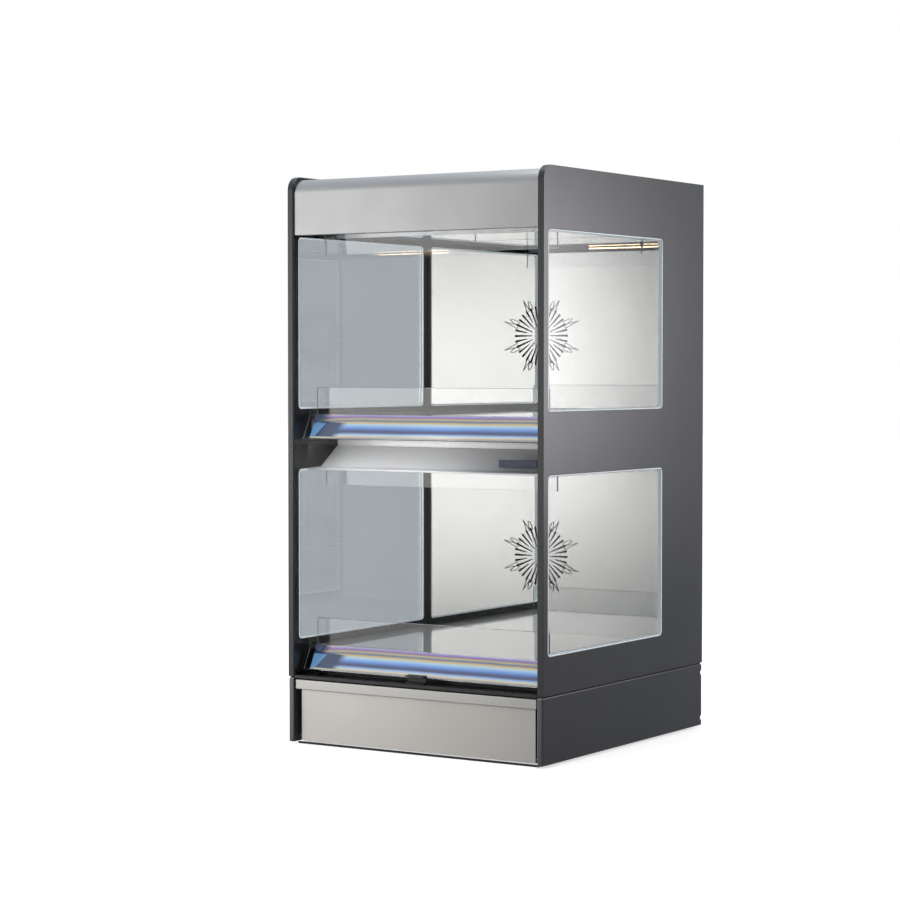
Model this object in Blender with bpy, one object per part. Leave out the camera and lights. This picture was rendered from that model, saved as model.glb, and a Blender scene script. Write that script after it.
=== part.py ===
"""Two-tier countertop hot food display case.

Metres, +Z up. The front faces -Y and +X is the right-hand side seen from the front.
The origin is the bottom centre of the case, at the height where the feet stand.
Most pieces are placed by their depth, the distance back from the front plane.
"""
import math

import bmesh
import bpy
from mathutils import Vector

# ---------------------------------------------------------------- driving dimensions
WIDTH = 0.600
DEPTH = 0.660
HEIGHT = 1.146
GAP = 0.0003               # clearance between pieces that touch
SHEET = 0.0015             # folded steel sheet
ACRYLIC = 0.002            # ticket strip wall
PANEL = 0.014              # side panel thickness
SKIN = 0.002               # what is left of a side panel where it is hollow
SEAM_Z = 0.1370            # underside of the side panels, above the base
BASE_TOP_Z = 0.1345        # top of the base skirts
SKIRT_Z = 0.0040           # underside of the base skirts

INNER = WIDTH / 2 - PANEL            # inner face of a side panel
REACH = INNER - 0.0005               # half width of what spans wall to wall

WINDOW_DEPTHS = (0.018, 0.478)
WINDOW_RADIUS = 0.009
PANEL_CORNER = 0.028

# One entry for each tier: heights in metres above the stand.
TIERS = {
    "lower": {"deck": 0.1985, "window": (0.2115, 0.5570), "fan": 0.3620},
    "upper": {"deck": 0.6675, "window": (0.6780, 1.0250), "fan": 0.8290},
}
CEILING_Z = 1.0335         # the upper tier's ceiling

DECK_DEPTH = 0.060         # front edge of both decks
BACK_WALL_DEPTH = 0.492
DUCT_DEPTH = 0.556
REAR_COVER_DEPTH = 0.651
BASE_REAR_DEPTH = 0.640
SHELF_Z = 0.6005           # underside of the middle housing
DIVIDER_Z = 0.5990         # underside of the plate between the two ducts
LAMP_BASES = {"upper": CEILING_Z, "lower": SHELF_Z}

CAP_Z = 1.1400
CAP_DEPTH = 0.004
CAP_RADIUS = 0.028
FASCIA_Z = 1.0280

HINGE_DEPTH = 0.019
HINGE_Z = 0.0145
HINGE_RADIUS = 0.002
FLAP_DEPTH = 0.0125
FLAP_HALF = 0.276
FLAP_Z = (0.007, 0.1115)
LIP_DEPTH = 0.0025
LIP_Z = (0.112, 0.131)
LIP_HALF = 0.283

CONTROL_DEPTH = 0.040
CONTROL_Z = 0.072
CONTROLLER_X = {"upper": 0.120, "lower": -0.120}
BUTTON_OFFSETS = {"up": 0.024, "down": 0.034}
BUTTON_SIZE = (0.0074, 0.0054)

FAN_RADIUS = 0.085
FAN_BLADES = 14
HEATER_RADIUS = 0.112
SHAFT_RADIUS = 0.004

STAR_SLOTS = 32
STAR_OUTER = 0.063
STAR_INNER = (0.020, 0.033)          # where the slots start, turn about
STAR_WIDTHS = (0.0016, 0.0048)       # a slot's width at its start and at its end
GUARD_HALF = 0.272
STRIP_HALF = 0.283
LOUVRE_PITCH = 0.014
LOUVRE_HALF = 0.0025                 # half the height of a louvre slot
NOTCH_HEIGHTS = (0.020, 0.116)

FEET = {
    "front_left": (-0.245, 0.070),
    "front_right": (0.245, 0.070),
    "rear_left": (-0.245, 0.600),
    "rear_right": (0.245, 0.600),
}


# ---------------------------------------------------------------- scene and materials
def clear_scene():
    for item in list(bpy.data.objects):
        bpy.data.objects.remove(item, do_unlink=True)


def finish(name, color, roughness, metallic=0.0, alpha=1.0):
    material = bpy.data.materials.new(name)
    material.use_nodes = True
    shader = material.node_tree.nodes["Principled BSDF"]
    shader.inputs["Base Color"].default_value = (*color, 1.0)
    shader.inputs["Roughness"].default_value = roughness
    shader.inputs["Metallic"].default_value = metallic
    shader.inputs["Alpha"].default_value = alpha
    material.diffuse_color = (*color, alpha)
    return material


def coated_panel():
    return finish("coated_panel", (0.10, 0.10, 0.11), 0.42, 0.3)


def black_trim():
    return finish("black_trim", (0.018, 0.018, 0.020), 0.35)


def brushed_steel():
    return finish("brushed_steel", (0.62, 0.61, 0.60), 0.34, 1.0)


def mirror_steel():
    return finish("mirror_steel", (0.86, 0.86, 0.85), 0.04, 1.0)


def galvanised():
    return finish("galvanised", (0.52, 0.54, 0.56), 0.45, 1.0)


def window_glass():
    return finish("window_glass", (0.74, 0.78, 0.80), 0.03, 0.0, 0.35)


def clear_acrylic():
    return finish("clear_acrylic", (0.82, 0.86, 0.90), 0.05, 0.0, 0.35)


def lamp_cover():
    return finish("lamp_cover", (1.0, 0.90, 0.76), 0.4)


def fan_metal():
    return finish("fan_metal", (0.60, 0.61, 0.62), 0.38, 1.0)


def heater_metal():
    return finish("heater_metal", (0.20, 0.17, 0.15), 0.55, 1.0)


def dark_plastic():
    return finish("dark_plastic", (0.03, 0.03, 0.032), 0.45)


def button_plastic():
    return finish("button_plastic", (0.30, 0.31, 0.32), 0.5)


def blank_plate():
    return finish("blank_plate", (0.09, 0.09, 0.10), 0.35)


# ---------------------------------------------------------------- placing
def y_at(depth):
    """The y of a plane at this depth behind the front plane."""
    return depth - DEPTH / 2


# ---------------------------------------------------------------- shapes
def add_object(name, mesh, material):
    item = bpy.data.objects.new(name, mesh)
    bpy.context.scene.collection.objects.link(item)
    if material is not None:
        mesh.materials.append(material)
    return item


def object_from_bmesh(name, work, material):
    bmesh.ops.recalc_face_normals(work, faces=work.faces)
    mesh = bpy.data.meshes.new(name)
    work.to_mesh(mesh)
    work.free()
    return add_object(name, mesh, material)


def prism(name, outline, start, end, axis, material):
    """Extrude a closed outline along an axis.

    The outline's points are the other two axes, in X, Y, Z order.
    """
    place = {
        "X": lambda a, b, t: (t, a, b),
        "Y": lambda a, b, t: (a, t, b),
        "Z": lambda a, b, t: (a, b, t),
    }[axis]
    work = bmesh.new()
    corners = [work.verts.new(place(a, b, start)) for a, b in outline]
    face = work.faces.new(corners)
    swept = bmesh.ops.extrude_face_region(work, geom=[face])
    moved = [part for part in swept["geom"] if isinstance(part, bmesh.types.BMVert)]
    shift = Vector(place(0.0, 0.0, end)) - Vector(place(0.0, 0.0, start))
    bmesh.ops.translate(work, vec=shift, verts=moved)
    return object_from_bmesh(name, work, material)


def box(name, low, high, material):
    outline = [(low[0], low[1]), (high[0], low[1]), (high[0], high[1]), (low[0], high[1])]
    return prism(name, outline, low[2], high[2], "Z", material)


def arc(centre, radius, start, end, steps):
    """Points on an arc, with its angles in degrees."""
    points = []
    for step in range(steps + 1):
        angle = math.radians(start + (end - start) * step / steps)
        points.append((centre[0] + radius * math.cos(angle), centre[1] + radius * math.sin(angle)))
    return points


def rounded_rectangle(low, high, radius, steps=5):
    return (
        arc((high[0] - radius, high[1] - radius), radius, 0, 90, steps)
        + arc((low[0] + radius, high[1] - radius), radius, 90, 180, steps)
        + arc((low[0] + radius, low[1] + radius), radius, 180, 270, steps)
        + arc((high[0] - radius, low[1] + radius), radius, 270, 360, steps)
    )


def thickened(path, thickness):
    """A closed outline: an open path and its copy offset to the path's left by the thickness."""
    points = [Vector(point) for point in path]
    sides = []
    for first, second in zip(points, points[1:]):
        run = (second - first).normalized()
        sides.append(Vector((-run.y, run.x)))
    offset = []
    for index, point in enumerate(points):
        before = sides[max(index - 1, 0)]
        after = sides[min(index, len(sides) - 1)]
        mitre = (before + after) / (1 + before.dot(after))
        offset.append(point + mitre * thickness)
    return [tuple(point) for point in points] + [tuple(point) for point in reversed(offset)]


def turned(name, profile, centre, axis, material, steps=32):
    """Turn a closed profile of (radius, along) points about a line along Y or Z through the centre."""
    work = bmesh.new()
    spin_axis = Vector((0, 1, 0)) if axis == "Y" else Vector((0, 0, 1))
    side = Vector((1, 0, 0))
    rings = []
    for step in range(steps):
        angle = 2 * math.pi * step / steps
        across = Vector((0, 0, 1)) if axis == "Y" else Vector((0, 1, 0))
        outward = side * math.cos(angle) + across * math.sin(angle)
        ring = []
        for radius, along in profile:
            ring.append(work.verts.new(Vector(centre) + outward * radius + spin_axis * along))
        rings.append(ring)
    for index, ring in enumerate(rings):
        following = rings[(index + 1) % steps]
        for low in range(len(profile)):
            high = (low + 1) % len(profile)
            work.faces.new((ring[low], following[low], following[high], ring[high]))
    bmesh.ops.remove_doubles(work, verts=work.verts, dist=0.00001)
    return smooth(object_from_bmesh(name, work, material))


def smooth(item, sharp_degrees=35):
    item.data.shade_smooth()
    item.data.set_sharp_from_angle(angle=math.radians(sharp_degrees))
    return item


def cylinder(name, centre, radius, start, end, axis, material, steps=24):
    """A solid cylinder. The centre is the two coordinates across the axis, in X, Y, Z order."""
    outline = arc(centre, radius, 0, 360, steps)[:-1]
    return smooth(prism(name, outline, start, end, axis, material))


def as_cutter(item):
    item.hide_render = True
    item.display_type = "WIRE"
    return item


def boolean(item, other, operation):
    modifier = item.modifiers.new(operation.lower(), "BOOLEAN")
    modifier.operation = operation
    modifier.solver = "EXACT"
    modifier.object = as_cutter(other)
    return item


def cut(item, other):
    return boolean(item, other, "DIFFERENCE")


def join(item, other):
    return boolean(item, other, "UNION")


def combined(name, items):
    """One hidden guide mesh made of several separate closed meshes."""
    work = bmesh.new()
    for item in items:
        work.from_mesh(item.data)
        bpy.data.objects.remove(item, do_unlink=True)
    return as_cutter(object_from_bmesh(name, work, None))


# ---------------------------------------------------------------- side panels and glazing
def window_outline(tier, inset=0.0):
    low_z, high_z = TIERS[tier]["window"]
    low = (y_at(WINDOW_DEPTHS[0]) + inset, low_z + inset)
    high = (y_at(WINDOW_DEPTHS[1]) - inset, high_z - inset)
    return rounded_rectangle(low, high, WINDOW_RADIUS - inset)


def side_panel(side, sign):
    """A panel with two window openings, hollow from its inner face where it covers the service space."""
    front = y_at(0.0)
    rear = y_at(DEPTH)
    corner = (front + PANEL_CORNER, HEIGHT - PANEL_CORNER)
    outline = [(rear, SEAM_Z), (rear, HEIGHT)]
    outline += arc(corner, PANEL_CORNER, 90, 180, 8)
    outline += [(front, SEAM_Z)]
    inner = sign * INNER
    outer = sign * WIDTH / 2
    panel = prism(f"side_panel_{side}", outline, inner, outer, "X", coated_panel())
    for tier in TIERS:
        cutter = prism(
            f"window_cutter_{side}_{tier}", window_outline(tier),
            inner - sign * 0.01, outer + sign * 0.01, "X", None,
        )
        cut(panel, cutter)
    near, far = sorted((inner - sign * 0.01, outer - sign * SKIN))
    low = (near, y_at(0.504), SEAM_Z + 0.014)
    high = (far, y_at(0.646), HEIGHT - 0.014)
    return cut(panel, as_cutter(box(f"panel_pocket_{side}", low, high, None)))


def glazing(side, sign):
    """One sealed double-glazed unit in each window, level with both faces of its panel."""
    recess = 0.0003
    for tier in TIERS:
        outer = sign * (WIDTH / 2 - recess)
        inner = sign * (INNER + recess)
        prism(f"glazing_{side}_{tier}", window_outline(tier, GAP), inner, outer, "X", window_glass())


# ---------------------------------------------------------------- top
def top_cap():
    front = y_at(CAP_DEPTH)
    rear = y_at(REAR_COVER_DEPTH + 0.006)
    corner = (front + CAP_RADIUS, CAP_Z - CAP_RADIUS)
    path = [(front + 0.018, FASCIA_Z), (front, FASCIA_Z)]
    path += arc(corner, CAP_RADIUS, 180, 90, 8)
    path += [(rear, CAP_Z), (rear, CAP_Z - 0.018)]
    outline = thickened(list(reversed(path)), SHEET)
    return prism("top_cap", outline, -REACH, REACH, "X", brushed_steel())


def ceiling_panel():
    front = y_at(0.028)
    rear = y_at(REAR_COVER_DEPTH - 0.004)
    low = CEILING_Z + GAP
    path = [(front, low + 0.030), (front, low), (rear, low)]
    outline = thickened(path, SHEET)
    return prism("ceiling_panel", outline, -REACH, REACH, "X", mirror_steel())


# ---------------------------------------------------------------- decks and middle housing
def deck(tier):
    front = y_at(DECK_DEPTH)
    top = TIERS[tier]["deck"]
    path = [(front, top - 0.0105), (front, top), (y_at(BACK_WALL_DEPTH - 0.0005), top)]
    outline = thickened(list(reversed(path)), SHEET)
    return prism(f"{tier}_deck", outline, -REACH, REACH, "X", mirror_steel())


def mid_housing():
    """The middle shelf's folded casing, open at the back, under the upper deck."""
    top = TIERS["upper"]["deck"] - SHEET - GAP
    front = y_at(DECK_DEPTH + SHEET + GAP)
    edge = y_at(0.153)
    rear = y_at(BACK_WALL_DEPTH - 0.0005)
    path = [(rear, top), (front, top), (front, 0.6190), (edge, 0.6118), (edge, SHELF_Z), (rear, SHELF_Z)]
    return prism("mid_housing", thickened(path, SHEET), -REACH, REACH, "X", brushed_steel())


def lower_floor_box():
    """The lower tier's folded floor casing, open at the back."""
    top = TIERS["lower"]["deck"] - SHEET - GAP
    bottom = SEAM_Z + 0.001
    front = y_at(DECK_DEPTH + SHEET + GAP)
    rear = y_at(BACK_WALL_DEPTH - 0.0005)
    path = [(rear, top), (front, top), (front, bottom), (rear, bottom)]
    return prism("lower_floor_box", thickened(path, SHEET), -REACH, REACH, "X", black_trim())


def mid_visor():
    """A folded visor: a slope under the housing, a flat shelf in front of it and a hem."""
    top = SHELF_Z - GAP
    path = [
        (y_at(0.186), top),
        (y_at(0.151), top),
        (y_at(0.094), 0.5600),
        (y_at(0.0480), 0.5583),
        (y_at(0.0462), 0.5570),
        (y_at(0.0465), 0.5545),
        (y_at(0.0520), 0.5545),
    ]
    return prism("mid_visor", thickened(path, SHEET), -REACH, REACH, "X", brushed_steel())


def badge_plate():
    """A blank upright plate whose foot follows the visor's slope."""
    front = 0.0995
    rear = 0.1025
    head = 0.5818
    outline = [
        (y_at(front), 0.5643),
        (y_at(rear), 0.5664),
        (y_at(rear), head),
        (y_at(front), head),
    ]
    return prism("badge_plate", outline, 0.139, 0.226, "X", blank_plate())


# ---------------------------------------------------------------- clear fronts, lights and probe
def guard(tier):
    low_z = TIERS[tier]["deck"] + GAP
    corner = 0.004
    outline = [(-GUARD_HALF, low_z), (GUARD_HALF, low_z)]
    outline += arc((GUARD_HALF - corner, low_z + 0.050), corner, 0, 90, 3)
    outline += arc((corner - GUARD_HALF, low_z + 0.050), corner, 90, 180, 3)
    return prism(f"guard_{tier}", outline, y_at(0.0620), y_at(0.0660), "Y", clear_acrylic())


def ticket_strip(tier):
    top = TIERS[tier]["deck"]
    back = {"upper": (0.1490, 0.6090), "lower": (0.0590, 0.1462)}[tier]
    path = [
        (y_at(0.0540), top),
        (y_at(0.0290), top - 0.0470),
        (y_at(0.0285), top - 0.0490),
        (y_at(0.0305), top - 0.0503),
        (y_at(back[0]), back[1]),
    ]
    outline = thickened(path, ACRYLIC)
    return prism(f"ticket_strip_{tier}", outline, -STRIP_HALF, STRIP_HALF, "X", clear_acrylic())


def deflector(tier):
    """A clear plate that leans forward, under the ceiling or under the visor's shelf."""
    high_z = {"upper": CEILING_Z, "lower": 0.5580}[tier] - GAP
    low_z = {"upper": 0.9910, "lower": 0.5230}[tier]
    lean = {"upper": 0.0030, "lower": 0.0010}[tier]
    outline = [
        (y_at(0.0930), low_z),
        (y_at(0.0970), low_z),
        (y_at(0.0970 - lean), high_z),
        (y_at(0.0930 - lean), high_z),
    ]
    return prism(f"deflector_{tier}", outline, -GUARD_HALF, GUARD_HALF, "X", clear_acrylic())


def led_strip(tier):
    top = LAMP_BASES[tier] - GAP
    depth = {"upper": 0.112, "lower": 0.190}[tier]
    outline = [
        (y_at(depth), top),
        (y_at(depth + 0.002), top - 0.008),
        (y_at(depth + 0.012), top - 0.008),
        (y_at(depth + 0.014), top),
    ]
    return prism(f"led_strip_{tier}", outline, -0.262, 0.262, "X", lamp_cover())


def probe(tier, x, depth, length):
    top = LAMP_BASES[tier] - GAP
    profile = [
        (0.0, 0.0), (0.004, 0.0), (0.004, -0.003),
        (0.0016, -0.0045), (0.0016, -length), (0.0, -length),
    ]
    return turned(f"probe_{tier}", profile, (x, y_at(depth), top), "Z", galvanised(), 12)


# ---------------------------------------------------------------- air path behind the back walls
def star_cutter(tier):
    """Radial slots, each wider at its outer end, around the fan's axis."""
    centre_z = TIERS[tier]["fan"]
    near_half = STAR_WIDTHS[0] / 2
    far_half = STAR_WIDTHS[1] / 2
    slots = []
    for index in range(STAR_SLOTS):
        angle = 2 * math.pi * index / STAR_SLOTS
        along = Vector((math.cos(angle), math.sin(angle)))
        across = Vector((-along.y, along.x))
        inner = STAR_INNER[index % 2]
        corners = [
            along * inner - across * near_half,
            along * STAR_OUTER - across * far_half,
            along * STAR_OUTER + across * far_half,
            along * inner + across * near_half,
        ]
        outline = [(corner.x, corner.y + centre_z) for corner in corners]
        start = y_at(BACK_WALL_DEPTH) - 0.005
        slots.append(prism(f"slot_{index}", outline, start, start + 0.012, "Y", None))
    return combined(f"star_cutter_{tier}", slots)


def back_wall(tier):
    low_z = {"lower": SEAM_Z + 0.001, "upper": DIVIDER_Z + SHEET + GAP}[tier]
    high_z = {"lower": DIVIDER_Z - GAP, "upper": CEILING_Z}[tier]
    low = (-REACH, y_at(BACK_WALL_DEPTH), low_z)
    high = (REACH, y_at(BACK_WALL_DEPTH) + SHEET, high_z)
    wall = box(f"back_wall_{tier}", low, high, mirror_steel())
    return cut(wall, star_cutter(tier))


def duct_divider():
    low = (-REACH, y_at(BACK_WALL_DEPTH), DIVIDER_Z)
    high = (REACH, y_at(REAR_COVER_DEPTH) - GAP, DIVIDER_Z + SHEET)
    return box("duct_divider", low, high, galvanised())


def duct_plate(tier):
    low_z = {"lower": SEAM_Z + 0.003, "upper": DIVIDER_Z + SHEET + GAP}[tier]
    high_z = {"lower": DIVIDER_Z - GAP, "upper": CEILING_Z}[tier]
    start = y_at(DUCT_DEPTH)
    plate = box(f"duct_plate_{tier}", (-REACH, start, low_z), (REACH, start + SHEET, high_z), galvanised())
    centre_z = TIERS[tier]["fan"]
    holes = [cylinder("shaft_hole", (0.0, centre_z), 0.012, start - 0.01, start + 0.01, "Y", None)]
    for x, z in heater_legs(tier):
        holes.append(cylinder("leg_hole", (x, z), 0.006, start - 0.01, start + 0.01, "Y", None, 12))
    return cut(plate, combined(f"duct_cutter_{tier}", holes))


def heater_legs(tier):
    """Where the heater's two legs pass back through the duct plate, as (x, z)."""
    places = []
    for degrees in (-100, -80):
        angle = math.radians(degrees)
        places.append((HEATER_RADIUS * math.cos(angle), TIERS[tier]["fan"] + HEATER_RADIUS * math.sin(angle)))
    return places


def heater(tier):
    """A rod heater bent into an open ring, with both ends turned back through the duct plate."""
    ring_depth = 0.524
    bend = 0.010
    centre_z = TIERS[tier]["fan"]
    left, right = heater_legs(tier)
    steps = 40
    ring = []
    for step in range(1, steps):
        angle = math.radians(-80 + 340 * step / steps)
        x = HEATER_RADIUS * math.cos(angle)
        z = centre_z + HEATER_RADIUS * math.sin(angle)
        ring.append((x, y_at(ring_depth), z))
    leg_end = y_at(DUCT_DEPTH + 0.024)
    leg_start = y_at(ring_depth + bend)
    path = [(right[0], leg_end, right[1]), (right[0], leg_start, right[1])]
    path += ring
    path += [(left[0], leg_start, left[1]), (left[0], leg_end, left[1])]
    curve = bpy.data.curves.new(f"heater_{tier}", "CURVE")
    curve.dimensions = "3D"
    curve.bevel_depth = 0.0035
    curve.bevel_resolution = 2
    curve.use_fill_caps = True
    spline = curve.splines.new("POLY")
    spline.points.add(len(path) - 1)
    for point, place in zip(spline.points, path):
        point.co = (*place, 1.0)
    item = bpy.data.objects.new(f"heater_{tier}", curve)
    bpy.context.scene.collection.objects.link(item)
    curve.materials.append(heater_metal())
    return item


def fan(tier):
    """An impeller: a back disc, a hub and shaft, and curved blades around the rim."""
    centre = (0.0, y_at(0.540), TIERS[tier]["fan"])
    profile = [
        (0.0, -0.030), (0.014, -0.030), (0.018, -0.024), (0.018, 0.0), (FAN_RADIUS, 0.0),
        (FAN_RADIUS, 0.0015), (0.014, 0.0015), (SHAFT_RADIUS, 0.008), (SHAFT_RADIUS, 0.056), (0.0, 0.056),
    ]
    wheel = turned(f"fan_{tier}", profile, (0.0, 0.0, 0.0), "Y", fan_metal(), 36)
    blades = []
    for index in range(FAN_BLADES):
        turn = 360 * index / FAN_BLADES
        start = arc((0.0, 0.0), 0.044, turn, turn + 1, 1)[0]
        middle = arc((0.0, 0.0), 0.062, turn + 9, turn + 10, 1)[0]
        end = arc((0.0, 0.0), 0.081, turn + 24, turn + 25, 1)[0]
        blades.append(prism("blade", thickened([start, middle, end], 0.0016), -0.030, 0.0008, "Y", None))
    guide = combined(f"fan_blades_{tier}", blades)
    join(wheel, guide)
    wheel.location = centre
    guide.location = centre
    return wheel


def fan_motor(tier):
    centre = (0.0, y_at(DUCT_DEPTH) + SHEET + GAP, TIERS[tier]["fan"])
    bore = SHAFT_RADIUS + 0.0006
    profile = [
        (bore, 0.0), (0.052, 0.0), (0.052, 0.003), (0.041, 0.004), (0.041, 0.054),
        (0.034, 0.062), (0.0, 0.062), (0.0, 0.046), (bore, 0.046),
    ]
    return turned(f"fan_motor_{tier}", profile, centre, "Y", galvanised(), 36)


# ---------------------------------------------------------------- rear covers
def louvre_cutter(name, depth, low_z, count, columns, half_width):
    slots = []
    for x in columns:
        for index in range(count):
            z = low_z + LOUVRE_PITCH * (index + 0.5)
            low = (x - half_width, y_at(depth) - 0.004, z - LOUVRE_HALF)
            high = (x + half_width, y_at(depth) + 0.006, z + LOUVRE_HALF)
            slots.append(box("louvre", low, high, None))
    return combined(name, slots)


def rear_cover(tier):
    low_z = {"lower": SEAM_Z + 0.003, "upper": DIVIDER_Z + 0.002}[tier]
    high_z = {"lower": DIVIDER_Z - 0.001, "upper": CAP_Z - SHEET - 0.018}[tier]
    start = y_at(REAR_COVER_DEPTH)
    cover = box(f"rear_cover_{tier}", (-REACH, start, low_z), (REACH, start + SHEET, high_z), coated_panel())
    centre_z = TIERS[tier]["fan"]
    slots = louvre_cutter(
        f"louvre_cutter_{tier}", REAR_COVER_DEPTH, centre_z - 6 * LOUVRE_PITCH, 12, (-0.115, 0.115), 0.075,
    )
    return cut(cover, slots)


# ---------------------------------------------------------------- base
def base_side(side, sign):
    inner = sign * INNER
    outer = sign * (WIDTH / 2 - 0.001)
    chamfer = 0.0028
    outline = [
        (inner, SKIRT_Z), (outer, SKIRT_Z), (outer, BASE_TOP_Z - chamfer),
        (outer - sign * chamfer, BASE_TOP_Z), (inner, BASE_TOP_Z),
    ]
    skirt = prism(f"base_side_{side}", outline, y_at(0.0), y_at(DEPTH), "Y", coated_panel())
    notches = []
    for z in NOTCH_HEIGHTS:
        low = (min(inner, outer) - 0.01, y_at(DEPTH) - 0.0045, z - 0.0035)
        high = (max(inner, outer) + 0.01, y_at(DEPTH) + 0.01, z + 0.0035)
        notches.append(box("notch", low, high, None))
    return cut(skirt, combined(f"notch_cutter_{side}", notches))


def base_tray():
    floor = 0.0100
    flange = 0.0400
    reach = REACH - 0.001
    path = [(-reach, flange), (-reach, floor), (reach, floor), (reach, flange)]
    tray = prism(
        "base_tray", thickened(path, SHEET), y_at(0.031), y_at(BASE_REAR_DEPTH) - GAP, "Y", galvanised(),
    )
    holes = []
    for x, depth in FEET.values():
        holes.append(cylinder("stem_hole", (x, y_at(depth)), 0.0056, 0.0, 0.02, "Z", None, 20))
    return cut(tray, combined("tray_cutter", holes))


def base_rear_panel():
    start = y_at(BASE_REAR_DEPTH)
    low = (-REACH, start, 0.0085)
    high = (REACH, start + SHEET, BASE_TOP_Z - GAP)
    panel = box("base_rear_panel", low, high, coated_panel())
    slots = louvre_cutter("base_louvre_cutter", BASE_REAR_DEPTH, 0.034, 5, (-0.120,), 0.090)
    cut(panel, slots)
    gland_hole = cylinder("gland_hole", (0.170, 0.060), 0.0086, start - 0.01, start + 0.01, "Y", None)
    return cut(panel, as_cutter(gland_hole))


def front_sill():
    """A black sill with a low front edge and a slot where the catch slides."""
    outline = [
        (y_at(0.0020), 0.1336), (y_at(0.0600), 0.1336), (y_at(0.0600), 0.1440),
        (y_at(0.0585), 0.1440), (y_at(0.0570), 0.1385), (y_at(0.0045), 0.1385),
        (y_at(0.0030), 0.1402), (y_at(0.0020), 0.1395),
    ]
    sill = prism("front_sill", outline, -REACH, REACH, "X", black_trim())
    slot = box("latch_slot", (-0.0125, y_at(0.0115), 0.12), (0.0125, y_at(0.0175), 0.16), None)
    return cut(sill, as_cutter(slot))


def latch():
    """A catch: a stem in the sill's slot, a flat thumb pad over it and a raised grip at its front."""
    outline = [
        (y_at(0.0120), 0.1320), (y_at(0.0170), 0.1320), (y_at(0.0170), 0.1392),
        (y_at(0.0240), 0.1392), (y_at(0.0240), 0.1560), (y_at(0.0220), 0.1575),
        (y_at(0.0085), 0.1560), (y_at(0.0080), 0.1535), (y_at(0.0200), 0.1520),
        (y_at(0.0200), 0.1432), (y_at(0.0120), 0.1418),
    ]
    item = prism("latch", outline, -0.021, 0.021, "X", dark_plastic())
    sides = [
        box("cheek", (-0.03, y_at(0.0), 0.12), (-0.0122, y_at(0.0300), 0.13915), None),
        box("cheek", (0.0122, y_at(0.0), 0.12), (0.03, y_at(0.0300), 0.13915), None),
    ]
    return cut(item, combined("latch_cutter", sides))


def flap_panel():
    front = y_at(FLAP_DEPTH)
    hem = 0.006
    low_z, high_z = FLAP_Z
    outline = [
        (front, low_z), (front, high_z), (front + hem, high_z), (front + hem, high_z - SHEET),
        (front + SHEET, high_z - SHEET), (front + SHEET, low_z),
    ]
    panel = prism("flap_panel", outline, -FLAP_HALF, FLAP_HALF, "X", brushed_steel())
    ears = []
    ear_outline = [
        (front + 0.0008, 0.0085), (front + 0.0110, 0.0085), (front + 0.0110, 0.0205),
        (front + 0.0080, 0.0260), (front + 0.0008, 0.0300),
    ]
    for x in (-0.262, -0.004, 0.258):
        ears.append(prism("ear", ear_outline, x, x + 0.004, "X", None))
    join(panel, combined("flap_ears", ears))
    bore = cylinder("hinge_bore", (y_at(HINGE_DEPTH), HINGE_Z), HINGE_RADIUS + 0.0005, -0.28, 0.28, "X", None)
    return cut(panel, as_cutter(bore))


def flap_lip():
    """A finger lip folded along the flap's top edge, open underneath."""
    front = y_at(LIP_DEPTH)
    rear = y_at(FLAP_DEPTH + 0.0080)
    low_z, high_z = LIP_Z
    path = [
        (front + 0.0035, low_z), (front + 0.0010, low_z), (front, low_z + 0.0010),
        (front, high_z - 0.0015), (front + 0.0015, high_z), (rear, high_z), (rear, low_z),
        (y_at(FLAP_DEPTH) + 0.0005, low_z),
    ]
    outline = thickened(list(reversed(path)), SHEET)
    return prism("flap_lip", outline, -LIP_HALF, LIP_HALF, "X", brushed_steel())


def hinge_rod():
    centre = (y_at(HINGE_DEPTH), HINGE_Z)
    return cylinder("hinge_rod", centre, HINGE_RADIUS, -REACH, REACH, "X", galvanised(), 20)


def levelling_foot(place, x, depth):
    profile = [
        (0.0, 0.0), (0.0160, 0.0), (0.0175, 0.0015), (0.0175, 0.0045), (0.0090, 0.0080),
        (0.0050, 0.0085), (0.0050, 0.0290), (0.0040, 0.0300), (0.0, 0.0300),
    ]
    return turned(f"foot_{place}", profile, (x, y_at(depth), 0.0), "Z", dark_plastic(), 24)


# ---------------------------------------------------------------- controls
def controller_front():
    return y_at(CONTROL_DEPTH) - 0.0045


def control_panel():
    start = y_at(CONTROL_DEPTH)
    panel = box("control_panel", (-0.262, start, 0.0140), (0.262, start + SHEET, 0.1280), black_trim())
    cutters = []
    for x in CONTROLLER_X.values():
        low = (x - 0.0370, start - 0.01, CONTROL_Z - 0.0150)
        high = (x + 0.0370, start + 0.01, CONTROL_Z + 0.0150)
        cutters.append(box("controller_hole", low, high, None))
    low = (-0.0110, start - 0.01, CONTROL_Z - 0.0150)
    high = (0.0110, start + 0.01, CONTROL_Z + 0.0150)
    cutters.append(box("switch_hole", low, high, None))
    return cut(panel, combined("control_cutter", cutters))


def controller(tier):
    """A panel instrument: a bezel, a deep body behind the plate and two button pockets."""
    x = CONTROLLER_X[tier]
    front = controller_front()
    plate = y_at(CONTROL_DEPTH)
    bezel = rounded_rectangle((x - 0.0400, CONTROL_Z - 0.0180), (x + 0.0400, CONTROL_Z + 0.0180), 0.003, 3)
    item = prism(f"controller_{tier}", bezel, front, plate - GAP, "Y", dark_plastic())
    low = (x - 0.0366, plate - 0.0020, CONTROL_Z - 0.0146)
    high = (x + 0.0366, plate + 0.0550, CONTROL_Z + 0.0146)
    join(item, as_cutter(box(f"controller_body_{tier}", low, high, None)))
    pockets = []
    for offset in BUTTON_OFFSETS.values():
        low = (x + offset - 0.0041, front - 0.01, CONTROL_Z - 0.0031)
        high = (x + offset + 0.0041, front + 0.0042, CONTROL_Z + 0.0031)
        pockets.append(box("pocket", low, high, None))
    return cut(item, combined(f"pocket_cutter_{tier}", pockets))


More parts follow.
